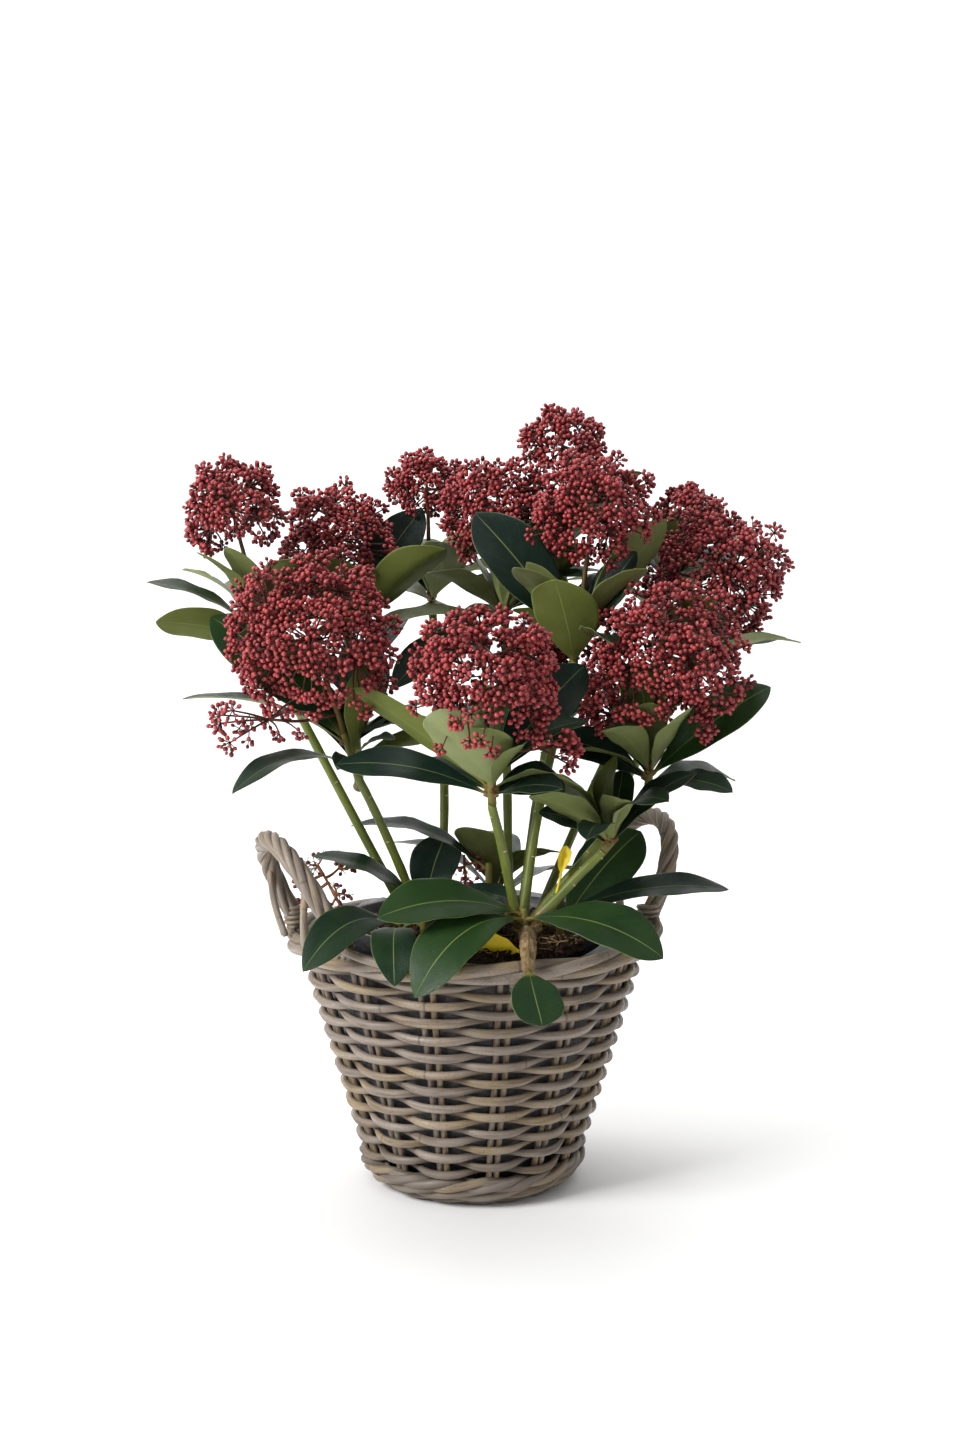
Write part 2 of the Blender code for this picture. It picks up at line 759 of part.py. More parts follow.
def shoot_ahead(shoot):
    """The direction that a shoot grows in at its whorl."""
    if shoot.crown:
        return (spot(shoot.crown) - spot(shoot.whorl)).normalized()
    return (spot(shoot.whorl) - spot(stem_foot(shoot))).normalized()


def shoot_axis(shoot):
    """The start of a shoot's twig, its end, and its direction."""
    ahead = shoot_ahead(shoot)
    start = spot(shoot.whorl) + ahead * GAP
    return start, start + ahead * shoot.twig * MM, ahead


class Branch(NamedTuple):
    """A side branch of a flower head: its joint, its fork, and where its four clusters stand."""

    joint: Vector
    fork: Vector
    ahead: Vector
    side: Vector
    places: tuple


def head_branches(seed, start, crown, spread, sides, lobes):
    """The side branches of a flower head by a seeded rule: a dome of them, then the low lobes."""
    chance = random.Random(seed)
    along = crown - start
    ahead = along.normalized()
    side = ahead.orthogonal().normalized()
    reach = spread * MM
    depth = min(0.92 * reach, 0.8 * along.length)
    centre = crown - ahead * depth
    aims = []
    for k in range(sides):
        level = 1.0 - (k + 0.35) / sides * 1.55
        ring = math.sqrt(max(0.0, 1.0 - level * level))
        turn = math.radians(GOLDEN_ANGLE * k + 360.0 * chance.random() / sides)
        outward_side = Matrix.Rotation(turn, 3, ahead) @ side
        target = centre + outward_side * (ring * reach) + ahead * (level * depth)
        low = max(0.12 * along.length, along.length - depth * (1.0 - level) * 0.55 - 0.35 * depth)
        low = min(low, 0.78 * along.length)
        aims.append((start + ahead * low, target, reach, chance.random()))
    for heading, lift, length in lobes:
        joint = start + ahead * (0.10 + 0.05 * chance.random()) * along.length
        target = joint + aim(heading, lift) * length * MM
        aims.append((joint, target, 0.6 * reach, chance.random()))
    return aims


def branch_of(joint, target, reach, first):
    """One side branch from its joint to its target. It forks short of the target."""
    ahead = (target - joint).normalized()
    fork = joint.lerp(target, 0.58)
    side = Matrix.Rotation(2.0 * math.pi * first, 3, ahead) @ ahead.orthogonal().normalized()
    places = [target + ahead * 0.04 * reach]
    for k in range(3):
        turn = Matrix.Rotation(math.radians(120.0 * k), 3, ahead)
        places.append(target + (turn @ side) * 0.42 * reach - ahead * (0.10 * reach))
    return Branch(joint, fork, ahead, side, tuple(places))


class Plant:
    """Builds the limbs and masses in the order that gives the shown leaves first choice of room."""

    def __init__(self, room):
        self.room = room
        self.pieces = {}
        self.twigs = {}
        self.stalks = {}

    def keep(self, node, mesh):
        """Add a piece to a node and claim its room."""
        self.pieces.setdefault(node, []).append(mesh)
        self.room.claim(node, mesh)

    def limbs(self):
        """The trunk, the stems, the short twigs in the whorls and the flower stalks."""
        self.trunk()
        for shoot in SHOOTS:
            self.keep("stem_" + shoot.name, stem(shoot))
        for shoot in SHOOTS:
            start, end, ahead = shoot_axis(shoot)
            self.twigs[shoot.name] = (start, ahead)
            self.keep("leaves_" + shoot.name, rod(start, end, TWIG_RADIUS, STALK_RADIUS, 4))
            if shoot.crown:
                base = end + ahead * GAP
                top = spot(shoot.crown)
                neck = base.lerp(top, 0.8)
                self.stalks[shoot.name] = (base, top)
                self.keep("flowers_" + shoot.name, rod(base, neck, STALK_RADIUS, BRANCH_RADIUS, 4))
        for name, (foot, height, _) in LOW_TWIGS.items():
            if foot:
                x, y, _ = foot
                z = soil_height(x, y) + 2.0 * GAP / MM
            else:
                turn = math.radians(KNUCKLE_TWIG)
                x = KNUCKLE[0] + KNUCKLE_CIRCLE * math.cos(turn)
                y = KNUCKLE[1] + KNUCKLE_CIRCLE * math.sin(turn)
                z = KNUCKLE[2] + GAP / MM
            start = spot((x, y, z))
            self.twigs[name] = (start, Vector((0.0, 0.0, 1.0)))
            end = start + Vector((0.0, 0.0, height * MM))
            self.keep("leaves_" + name, rod(start, end, TWIG_RADIUS, TWIG_RADIUS * 0.7, 4))
        for name, (foot, top, _, _) in DRIED.items():
            x, y, _ = foot
            start = spot((x, y, soil_height(x, y) + 1.5))
            end = spot(top)
            self.stalks["dried_" + name] = (start, end)
            neck = start.lerp(end, 0.85)
            self.keep("dried_flowers_" + name, rod(start, neck, 1.6 * MM, BRANCH_RADIUS, 4))

    def trunk(self):
        """The woody foot: a short trunk, the knuckle on it, and a dead stub laid over the border."""
        x, y, z = KNUCKLE
        foot = spot((x - 2.0, y + 4.0, soil_height(x, y) + 2.8))
        neck = spot((x, y, z - 5.0))
        top = spot((x, y, z))
        shoulder = spot((x, y, z - 4.6))
        bend = spot(STUB_BEND)
        self.keep("trunk", rod(neck, top, KNUCKLE_RADIUS * 0.8, KNUCKLE_RADIUS, 10))
        self.keep("trunk", rod(foot, neck.lerp(top, 0.3), 6.5 * MM, 7.0 * MM, 8))
        self.keep("trunk", rod(shoulder, bend, 4.0 * MM, 3.7 * MM, 6))
        self.keep("trunk", rod(bend.lerp(shoulder, 0.05), spot(STUB_END), 3.6 * MM, 2.4 * MM, 6))

    def set_leaf(self, name, leaf, swings):
        """Try a leaf at each swing in turn, and keep it where it meets no other node."""
        start, ahead = self.twigs[name]
        node = "leaves_" + name
        for heading, lift in swings:
            held = leaf._replace(heading=leaf.heading + heading, lift=leaf.lift + lift)
            root = start + ahead * leaf.rise * MM + aim(held.heading, 0.0) * LEAF_INSET
            if self.room.is_free(node, leaf_mesh(root, held, CLEAR)):
                self.keep(node, leaf_mesh(root, held))
                return held
        return None

    def shown_leaves(self):
        """The leaves of the show side, each moved a little where it would meet something."""
        swings = [(0, 0), (4, 2), (-4, 2), (0, 4), (7, 0), (-7, 0), (0, 8), (0, -6), (10, 6), (-10, 6)]
        swings += [(15, 0), (-15, 0), (0, 14), (20, 8), (-20, 8)]
        for name, leaves in LEAVES.items():
            for leaf in leaves:
                if not self.set_leaf(name, leaf, swings):
                    self.set_leaf(name, shorter(leaf), swings)
        self.rim_leaf()

    def rim_leaf(self):
        """The small round leaf that hangs from the dead stub in front of the border."""
        start = spot(STUB_END) + aim(-88, -20) * (GAP + 0.5 * MM)
        self.twigs["rim"] = (start, aim(-88, -30))
        self.keep("leaves_rim", rod(start, start + aim(-88, -30) * 4.0 * MM, 1.4 * MM, 1.2 * MM, 5))
        self.set_leaf("rim", Leaf(2.0, -72, -48, 42, 35, 0, 4, 0.1), [(0, 0), (0, 8), (0, 16)])

    def filler_leaves(self):
        """The leaves that fill each whorl between the shown ones, by a seeded rule."""
        counts = {shoot.name: (shoot.filler, shoot.twig) for shoot in SHOOTS}
        counts.update({name: (filler, height) for name, (_, height, filler) in LOW_TWIGS.items()})
        swings = [(0, 0), (12, 6), (-12, 6), (20, -6), (-20, -6), (0, 18), (30, 8), (-30, 8), (0, 30)]
        for index, (name, (count, height)) in enumerate(counts.items()):
            chance = random.Random(100 + index)
            shown = [leaf.heading for leaf in LEAVES.get(name, ())]
            heading = chance.uniform(0.0, 360.0)
            placed = 0
            for _ in range(3 * count + 12):
                heading += GOLDEN_ANGLE
                rise = chance.uniform(0.35, 0.8) * height
                lift = chance.uniform(8.0, 46.0)
                length = chance.uniform(70.0, 96.0)
                width = length * chance.uniform(0.32, 0.4)
                roll = chance.uniform(-20.0, 20.0)
                arch = chance.uniform(4.0, 11.0)
                near = any(abs((heading - other + 180.0) % 360.0 - 180.0) < 34.0 for other in shown)
                if placed == count or near:
                    continue
                leaf = Leaf(rise, heading, lift, length, width, roll, arch)
                held = self.set_leaf(name, leaf, swings)
                if held:
                    shown.append(held.heading)
                    placed += 1

    def flower_heads(self):
        """The branches and bud clusters of every flower head."""
        for index, shoot in enumerate(SHOOTS):
            if shoot.crown:
                base, top = self.stalks[shoot.name]
                node = "flowers_" + shoot.name
                self.head(node, 200 + index, base, top, shoot.spread, shoot.sides, shoot.lobes)
        for index, (name, (_, _, spread, sides)) in enumerate(DRIED.items()):
            base, top = self.stalks["dried_" + name]
            self.head("dried_flowers_" + name, 300 + index, base, top, spread, sides, ())

    def head(self, node, seed, base, top, spread, sides, lobes):
        """One flower head: each branch is shortened until it finds room, or is left out."""
        size = (3.0 + 0.07 * spread) * MM
        for joint, target, reach, first in head_branches(seed, base, top, spread, sides, lobes):
            for share in (1.0, 0.84, 0.68):
                branch = branch_of(joint, joint.lerp(target, share), reach * share, first)
                if self.room.is_free(node, spray(branch, size, CLEAR)):
                    self.keep(node, spray(branch, size))
                    break

    def build(self):
        """Grow everything and turn each node's pieces into one solid."""
        self.limbs()
        self.shown_leaves()
        self.flower_heads()
        self.filler_leaves()
        fallen = Leaf(0.0, 160, 4, 26, 15, -10, 3, 0.2)
        self.keep("fallen_leaf", leaf_mesh(spot(FALLEN_PLACE), fallen))
        finishes = {
            "trunk": BARK,
            "stem": GREEN_STEM,
            "leaves": LEAF_GREEN,
            "flowers": BUD_RED,
            "dried": DRY_TAN,
            "fallen": YELLOW,
        }
        for node, meshes in self.pieces.items():
            fuse(node, [loose(mesh) for mesh in meshes], finishes[node.split("_")[0]])


def main():
    clear_scene()
    room = Room()
    basket = [
        basket_base(),
        basket_wall(),
        basket_rim(),
        handle("handle_left", -1.0),
        handle("handle_right", 1.0),
        liner(),
        nursery_pot(),
        soil(),
    ]
    for solid in basket:
        room.claim(solid.name, solid.data)
    Plant(room).build()


main()
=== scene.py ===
"""The looks of a young skimmia in bud, in a nursery pot inside a woven rattan basket.

The basket stands on z = 0 with its middle at the origin and a handle on each side along X. The
plant is laid out as it is seen from its show side, in millimetres, x to the right, y away and
z up, and the whole layout is then turned about Z by PLANT_TURN.
"""

import logging
from dataclasses import dataclass, field, replace
from enum import Enum
from functools import cache, reduce
from math import atan2, copysign, cos, exp, hypot, pi, radians, sin, sqrt
from random import Random
from typing import Iterable, Sequence

import bpy
import numpy as np
from bpy.types import ID, Material, Node, NodeInputs, NodeOutputs, NodeSocket as Socket, NodeTree, Object
from mathutils import Matrix, Vector, noise
from mathutils.bvhtree import BVHTree


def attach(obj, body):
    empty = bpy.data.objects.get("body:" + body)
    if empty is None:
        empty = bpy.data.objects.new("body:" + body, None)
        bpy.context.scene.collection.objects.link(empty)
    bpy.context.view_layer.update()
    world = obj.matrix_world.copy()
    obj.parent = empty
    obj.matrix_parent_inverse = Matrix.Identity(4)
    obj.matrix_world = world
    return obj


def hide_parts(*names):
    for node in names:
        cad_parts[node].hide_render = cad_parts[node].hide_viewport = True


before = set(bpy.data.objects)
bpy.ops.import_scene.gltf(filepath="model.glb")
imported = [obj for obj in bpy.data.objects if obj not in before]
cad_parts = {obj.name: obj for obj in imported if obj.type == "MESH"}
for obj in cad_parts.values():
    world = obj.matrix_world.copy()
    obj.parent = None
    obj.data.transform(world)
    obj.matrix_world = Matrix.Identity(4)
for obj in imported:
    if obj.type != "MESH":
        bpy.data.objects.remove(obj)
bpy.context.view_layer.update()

log = logging.getLogger("potted_skimmia")

MM = 0.001
GAP = 0.3 * MM
CLEAR = 0.35 * MM
PLANT_TURN = radians(-24.0)
GOLDEN_ANGLE = 137.508
ROUND = 2.0 * pi
BODY = "root"

VALUE_NAMES = ("run", "side", "tone", "under", "warm")
Triple = tuple[float, float, float]
Pairs = Sequence[tuple[float, float]]
Number = float | Socket


# Meshes


def new_object(name: str, data: ID) -> Object:
    """A new object in the scene."""
    made = bpy.data.objects.new(name, data)
    bpy.context.scene.collection.objects.link(made)
    return made


class Shape:
    """Gathers closed lofts and small forms, with their per-point values, into one mesh."""

    def __init__(self) -> None:
        """Start with nothing gathered."""
        self.points: list[np.ndarray] = []
        self.faces: list[np.ndarray] = []
        self.corners: list[np.ndarray] = []
        self.values: dict[str, list[np.ndarray]] = {name: [] for name in VALUE_NAMES}
        self.count = 0

    def add(self, points: np.ndarray, faces: Sequence[np.ndarray], **values: np.ndarray) -> None:
        """Add points and the faces between them.

        Args:
            points: One row each, in metres.
            faces: Triangles or quads, counting from the first of these points.
            values: A number for each point or for all, by name.
        """
        for group in faces:
            if len(group):
                self.faces.append((group + self.count).ravel())
                self.corners.append(np.full(len(group), group.shape[1]))
        self.points.append(points)
        for name in VALUE_NAMES:
            given = np.asarray(values.get(name, 0.0), float)
            self.values[name].append(np.broadcast_to(given, (len(points),)))
        self.count += len(points)

    def loft(self, rings: np.ndarray, closed: bool = False, **values: np.ndarray) -> None:
        """Join rings of points, which run anticlockwise about their way.

        Args:
            rings: An array of ring, point and coordinate.
            closed: Whether the last ring joins the first, or both are capped.
            values: A number for each point or for all, by name.
        """
        many, around, _ = rings.shape
        last = many if closed else many - 1
        i, k = np.meshgrid(np.arange(last), np.arange(around), indexing="ij")
        j, n = (i + 1) % many, (k + 1) % around
        corners = (i * around + k, i * around + n, j * around + n, j * around + k)
        quads = np.stack(corners, -1).reshape(-1, 4)
        points = rings.reshape(-1, 3)
        given = {}
        for name, value in values.items():
            given[name] = np.broadcast_to(value, (many, around)).reshape(-1)
        caps: list[np.ndarray] = []
        if not closed:
            k = np.arange(around)
            n = (k + 1) % around
            first = many * around
            points = np.vstack([points, rings[0].mean(0), rings[-1].mean(0)])
            for name, value in given.items():
                given[name] = np.concatenate([value, [value[0], value[-1]]])
            caps.append(np.stack([np.full(around, first), n, k], -1))
            top = (many - 1) * around
            caps.append(np.stack([np.full(around, first + 1), top + k, top + n], -1))
        self.add(points, [quads, *caps], **given)

    def tube(self, line: Sequence[Vector], radii: Sequence[float], sides: int, **values: float) -> None:
        """Add a tube along a line, with its length in metres as the run value.

        Args:
            line: Its middle.
            radii: Its radius at each point.
            sides: How many sides it has.
            values: A number for each point of the line or for all, by name.
        """
        places = np.array(line)
        frames = carried_frames(places)
        turn = circle(sides)
        radii = np.asarray(radii)[:, None, None]
        first = frames[:, :1] * np.cos(turn)[:, None]
        second = frames[:, 1:] * np.sin(turn)[:, None]
        rings = places[:, None, :] + radii * (first + second)
        steps = np.linalg.norm(np.diff(places, axis=0, prepend=places[:1]), axis=1)
        run = np.cumsum(steps)[:, None]
        given = {name: np.reshape(value, (-1, 1)) for name, value in values.items()}
        given.setdefault("run", run)
        given.setdefault("side", turn / np.pi - 1.0)
        self.loft(rings, **given)

    def copies(self, form: "Form", places: Sequence[Matrix], **values: Sequence[float]) -> None:
        """Add copies of a small form.

        Args:
            form: The form to copy.
            places: The matrix of each copy.
            values: A number for each copy, by name. The form's own run stays.
        """
        if not places:
            return
        matrices = np.array(places)
        points = np.einsum("cij,pj->cpi", matrices[:, :3, :3], form.points) + matrices[:, None, :3, 3]
        offsets = (np.arange(len(places)) * len(form.points))[:, None, None]
        faces = [(group[None] + offsets).reshape(-1, group.shape[1]) for group in form.faces]
        given = {"run": np.tile(form.run, len(places))}
        for name, value in values.items():
            given[name] = np.repeat(np.asarray(value, float), len(form.points))
        self.add(points.reshape(-1, 3), faces, **given)

    def piece(self, name: str, finish: "Finish", nodes: Iterable[str] = ()) -> Object:
        """Make one smooth piece of everything gathered, on the body.

        Args:
            name: Its name.
            finish: Its finish.
            nodes: The nodes that it stands for.

        Returns:
            The piece.
        """
        mesh = bpy.data.meshes.new(name)
        points = np.vstack(self.points)
        indices = np.concatenate(self.faces)
        sizes = np.concatenate(self.corners)
        mesh.vertices.add(len(points))
        mesh.vertices.foreach_set("co", points.astype(np.float32).ravel())
        mesh.loops.add(len(indices))
        mesh.loops.foreach_set("vertex_index", indices.astype(np.int32))
        mesh.polygons.add(len(sizes))
        starts = np.concatenate([[0], np.cumsum(sizes)[:-1]])
        mesh.polygons.foreach_set("loop_start", starts.astype(np.int32))
        mesh.polygons.foreach_set("loop_total", sizes.astype(np.int32))
        mesh.update(calc_edges=True)
        mesh.validate()
        for value_name, parts in self.values.items():
            layer = mesh.attributes.new(value_name, "FLOAT", "POINT")
            layer.data.foreach_set("value", np.concatenate(parts).astype(np.float32))
        mesh.shade_smooth()
        mesh.materials.append(finish.material())
        obj = new_object(name, mesh)
        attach(obj, BODY)
        nodes = tuple(nodes)
        if nodes:
            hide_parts(*nodes)
        log.info("%s: %d points", name, len(points))
        return obj


class Form:
    """A small closed form that is copied: a bud, a stalk or a crumb."""

    def __init__(self, levels: Pairs, sides: int) -> None:
        """Turn a profile about Z.

        Args:
            levels: The radius and height of each ring, upward.
            sides: How many points each ring has.
        """
        turn = circle(sides)
        rings = np.array([[(r * np.cos(a), r * np.sin(a), z) for a in turn] for r, z in levels])
        gathered = Shape()
        low, high = levels[0][1], levels[-1][1]
        share = (rings[:, :, 2] - low) / (high - low)
        gathered.loft(rings, run=share)
        self.points = gathered.points[0]
        self.run = gathered.values["run"][0]
        quads = gathered.faces[0].reshape(-1, 4)
        tris = np.concatenate([gathered.faces[1], gathered.faces[2]]).reshape(-1, 3)
        self.faces = [quads, tris]


def carried_frames(places: np.ndarray) -> np.ndarray:
    """Two directions across a line at each point, carried along it without twist.

    Args:
        places: Its points, one row each.

    Returns:
        Two unit vectors a point, right-handed with the line's way.
    """
    way = np.gradient(places, axis=0)
    way /= np.linalg.norm(way, axis=1)[:, None]
    across = np.array([0.0, 0.0, 1.0] if abs(way[0][2]) < 0.9 else [1.0, 0.0, 0.0])
    frames = []
    for ahead in way:
        across = across - ahead * across.dot(ahead)
        across = across / np.linalg.norm(across)
        frames.append((across, np.cross(ahead, across)))
    return np.array(frames)


def set_up(origin: Vector, ahead: Vector, width: float, length: float) -> Matrix:
    """The matrix that stands a form at a point, with its Z along a direction, at this size."""
    turn = ahead.to_track_quat("Z", "Y").to_matrix().to_4x4()
    return Matrix.Translation(origin) @ turn @ Matrix.Diagonal((width, width, length, 1.0))


def spot(point: Sequence[float]) -> Vector:
    """A point of the plant's layout in millimetres, in the part's frame in metres."""
    return Matrix.Rotation(PLANT_TURN, 3, "Z") @ Vector(point) * MM


def aim(heading: float, lift: float) -> Vector:
    """The direction of this heading and lift, in degrees of the layout."""
    turn = radians(heading) + PLANT_TURN
    rise = radians(lift)
    level = cos(rise)
    return Vector((cos(turn) * level, sin(turn) * level, sin(rise)))


def spun(degrees: float, axis: Vector) -> Matrix:
    """The turn by this many degrees about an axis."""
    return Matrix.Rotation(radians(degrees), 3, axis)


def apart(first: float, second: float) -> float:
    """How many degrees two headings are apart."""
    return abs((first - second + 180.0) % 360.0 - 180.0)


def level_ring(level: float) -> float:
    """The radius of a ball of radius 1 at a level from -1 to 1."""
    return sqrt(max(0.0, 1.0 - level * level))


def circle(steps: int) -> np.ndarray:
    """Even angles once round."""
    return np.linspace(0.0, ROUND, steps, endpoint=False)


def flat_ring(radius: float, height: float, turn: np.ndarray) -> np.ndarray:
    """A level ring in metres, from a radius and a height in millimetres, at these angles."""
    return np.stack([radius * np.cos(turn), radius * np.sin(turn), height + 0.0 * turn], -1) * MM


def wander(seed: float, where: float, size: float) -> float:
    """A smooth random number between -size and size that changes with where."""
    return size * noise.noise(Vector((where, seed * 7.31, seed * 3.17)))


def smooth_line(points: Sequence[Vector], steps: int) -> list[Vector]:
    """A smooth line through points.

    Args:
        points: The points.
        steps: How many steps lie between two of them.

    Returns:
        The line.
    """
    ends = [points[0] * 2.0 - points[1], *points, points[-1] * 2.0 - points[-2]]
    line = []
    for a, b, c, d in zip(ends, ends[1:], ends[2:], ends[3:]):
        for k in range(steps):
            t = k / steps
            square = (2.0 * a - 5.0 * b + 4.0 * c - d) * t * t
            cube = (3.0 * b - a - 3.0 * c + d) * t * t * t
            line.append(0.5 * (2.0 * b + (c - a) * t + square + cube))
    line.append(points[-1].copy())
    return line


# Shader nodes


class Bench:
    """Places shader nodes in one tree and joins them."""

    def __init__(self, tree: NodeTree, shader: NodeInputs | None = None) -> None:
        """Work in this tree, for this shader's sockets where it has one."""
        self.tree = tree
        self.shader = shader

    def put(self, socket: Socket, value: Number | Triple) -> None:
        """Join a socket to another, or set its own value."""
        if isinstance(value, Socket):
            self.tree.links.new(value, socket)
        else:
            socket.default_value = (*value, 1.0) if isinstance(value, tuple) else value

    def node(self, kind: str, *inputs: Number | Triple | None, **settings: object) -> Node:
        """A new node.

        Args:
            kind: Its kind, without ShaderNode before it.
            inputs: What goes into its sockets, in order. None leaves one as it is.
            settings: Its settings by name.

        Returns:
            The node.
        """
        made = self.tree.nodes.new("ShaderNode" + kind)
        for name, setting in settings.items():
            setattr(made, name, setting)
        for socket, value in zip(made.inputs, inputs):
            if value is not None:
                self.put(socket, value)
        return made

    def colour(self, value: Triple | Socket) -> None:
        """Give the shader its colour."""
        self.put(self.shader["Base Color"], value)

    def rough(self, value: Socket) -> None:
        """Give the shader its roughness."""
        self.put(self.shader["Roughness"], value)

    def relief(self, height: Socket, strength: float, distance: float) -> None:
        """Give the shader a surface of this height."""
        bump = self.node("Bump", strength, distance, None, height)
        self.put(self.shader["Normal"], bump.outputs["Normal"])

    def value(self, name: str) -> Socket:
        """The per-point value of this name."""
        return self.node("Attribute", attribute_name=name).outputs["Fac"]

    def place(self) -> Socket:
        """The place in the object's own frame."""
        return self.node("TexCoord").outputs["Object"]

    def sum(self, how: str, first: Number, second: Number = 0.0, clamp: bool = False) -> Socket:
        """What a Math node of this operation makes of two numbers."""
        return self.node("Math", first, second, operation=how, use_clamp=clamp).outputs[0]

    def times(self, first: Number, second: Number) -> Socket:
        """Two numbers multiplied."""
        return self.sum("MULTIPLY", first, second)

    def most(self, *numbers: Number) -> Socket:
        """The largest of some numbers."""
        return reduce(lambda first, second: self.sum("MAXIMUM", first, second), numbers)

    def span(
        self, share: Socket, low: float, high: float, to_low: float = 0.0, to_high: float = 1.0
    ) -> Socket:
        """A number stretched from the span low to high to another one, and held at its ends."""
        ends = (low, high, to_low, to_high)
        return self.node("MapRange", share, *ends, interpolation_type="SMOOTHSTEP").outputs["Result"]

    def mix(self, share: Number, first: Triple | Socket, second: Triple | Socket) -> Socket:
        """Two colours mixed, with this share of the second."""
        skipped = (None,) * 5
        return self.node("Mix", share, *skipped, first, second, data_type="RGBA").outputs[2]

    def noise(
        self, where: Socket, scale: Number, detail: float = 3.0, roughness: float = 0.55
    ) -> Socket:
        """Smooth noise between 0 and 1 at a place."""
        return self.node("TexNoise", where, None, scale, detail, roughness).outputs["Fac"]

    def vector(self, *numbers: Number) -> Socket:
        """A place made of three numbers."""
        return self.node("CombineXYZ", *numbers).outputs[0]

    def group(self, made: NodeTree, *values: float) -> NodeOutputs:
        """Place a node group, set its inputs in order, and return its outputs."""
        return self.node("Group", *values, node_tree=made).outputs


def new_group(
    name: str, inputs: dict[str, float], outputs: Sequence[str]
) -> tuple[NodeTree, Bench]:
    """An empty node group with float sockets.

    Args:
        name: The group's name.
        inputs: Its inputs and their usual values.
        outputs: Its outputs.

    Returns:
        The group, and a bench to work in it.
    """
    made = bpy.data.node_groups.new(name, "ShaderNodeTree")
    for label, usual in inputs.items():
        socket = made.interface.new_socket(label, in_out="INPUT", socket_type="NodeSocketFloat")
        socket.default_value = usual
    for label in outputs:
        made.interface.new_socket(label, in_out="OUTPUT", socket_type="NodeSocketFloat")
    made.nodes.new("NodeGroupInput")
    made.nodes.new("NodeGroupOutput")
    return made, Bench(made)


@cache
def grain_group() -> NodeTree:
    """Streaks that run along a strand or a stem, with fine dark cracks in them.

    Returns:
        The group. Streaks is from 0 to 1 and Cracks is 1 in a crack.
    """
    usual = {"Along": 40.0, "Across": 3.0, "Crack Level": 0.66}
    made, bench = new_group("long grain", usual, ("Streaks", "Cracks"))
    given = made.nodes["Group Input"].outputs
    along = bench.times(bench.value("run"), given["Along"])
    across = bench.times(bench.value("side"), given["Across"])
    seed = bench.times(bench.value("tone"), 37.0)
    where = bench.vector(along, across, seed)
    streaks = bench.noise(where, 1.0, 4.0, 0.6)
    thin = bench.vector(along, bench.times(across, 4.0), bench.sum("ADD", seed, 9.0))
    cracks = bench.noise(thin, 1.0, 3.0, 0.65)
    over = bench.sum("SUBTRACT", cracks, given["Crack Level"])
    result = made.nodes["Group Output"].inputs
    bench.put(result["Streaks"], bench.span(streaks, 0.25, 0.75))
    bench.put(result["Cracks"], bench.span(over, 0.0, 0.07))
    return made


@cache
def mottle_group() -> NodeTree:
    """Uneven patches and fine specks, by place.

    Returns:
        The group. Patches and Specks are from 0 to 1.
    """
    made, bench = new_group("mottle", {"Patch Scale": 60.0, "Speck Scale": 700.0}, ("Patches", "Specks"))
    given = made.nodes["Group Input"].outputs
    patches = bench.noise(bench.place(), given["Patch Scale"], 3.0)
    specks = bench.noise(bench.place(), given["Speck Scale"], 1.0)
    result = made.nodes["Group Output"].inputs
    bench.put(result["Patches"], bench.span(patches, 0.3, 0.7))
    bench.put(result["Specks"], bench.span(specks, 0.35, 0.65))
    return made


@dataclass(frozen=True)
class Finish:
    """One surface finish: its name, a slot name, and its plain values."""

    name: str
    slot: str
    roughness: float = 0.5
    specular: float = 0.5

    @cache
    def material(self) -> Material:
        """The finish's material, made once."""
        made = bpy.data.materials.new(self.name)
        made.use_nodes = True
        shader = made.node_tree.nodes["Principled BSDF"]
        shader.inputs["Roughness"].default_value = self.roughness
        shader.inputs["Specular IOR Level"].default_value = self.specular
        self.paint(Bench(made.node_tree, shader.inputs))
        return made

    def paint(self, bench: Bench) -> None:
        """Give the shader its looks."""
        raise NotImplementedError


@dataclass(frozen=True)
class RattanFinish(Finish):
    """Weathered rattan: grey and tan, with streaks, cracks and dark joints, and painted shade in the dips."""

    grey: Triple = (0.255, 0.205, 0.165)
    tan: Triple = (0.28, 0.205, 0.115)
    dark: Triple = (0.022, 0.014, 0.010)
    joint_step: float = 0.19

    def paint(self, bench: Bench) -> None:
        """Streak and age the strands, darken joints and cracks, and paint shade into the dips."""
        streaks, cracks = bench.group(grain_group(), 26.0, 2.6, 0.68)
        patches, specks = bench.group(mottle_group(), 34.0, 900.0)
        age = bench.sum("ADD", bench.value("tone"), bench.times(patches, 0.6))
        base = bench.mix(bench.span(age, 0.6, 1.3), self.grey, self.tan)
        lift = bench.mix(bench.span(streaks, 0.3, 1.0, 0.0, 0.4), base, (0.40, 0.345, 0.295))
        deep = bench.mix(bench.span(streaks, 0.0, 0.45, 0.6, 0.0), lift, (0.085, 0.058, 0.040))
        turn = bench.times(bench.value("run"), pi / self.joint_step)
        wave = bench.sum("SINE", bench.sum("ADD", turn, bench.times(bench.value("tone"), 9.0)))
        joint = bench.span(bench.sum("ABSOLUTE", wave), 0.0, 0.025, 0.6, 0.0)
        spots = bench.times(bench.span(specks, 0.8, 1.0), 0.3)
        marks = bench.most(bench.times(cracks, 0.8), joint, spots)
        aged = bench.sum("FRACT", bench.times(bench.value("tone"), 7.31))
        # Painted shade from under, where strands and rods lie in recesses, plus each strand's own random
        # darkness.
        painted_dip_shade = bench.times(bench.value("under"), 0.72)
        painted_shade_and_dark = bench.sum("ADD", painted_dip_shade, bench.times(aged, 0.26))
        bench.colour(bench.mix(bench.most(marks, painted_shade_and_dark), deep, self.dark))
        bench.rough(bench.span(streaks, 0.0, 1.0, 0.66, 0.4))
        height = bench.sum("SUBTRACT", bench.times(streaks, 0.6), marks)
        bench.relief(height, 0.4, 0.0006)


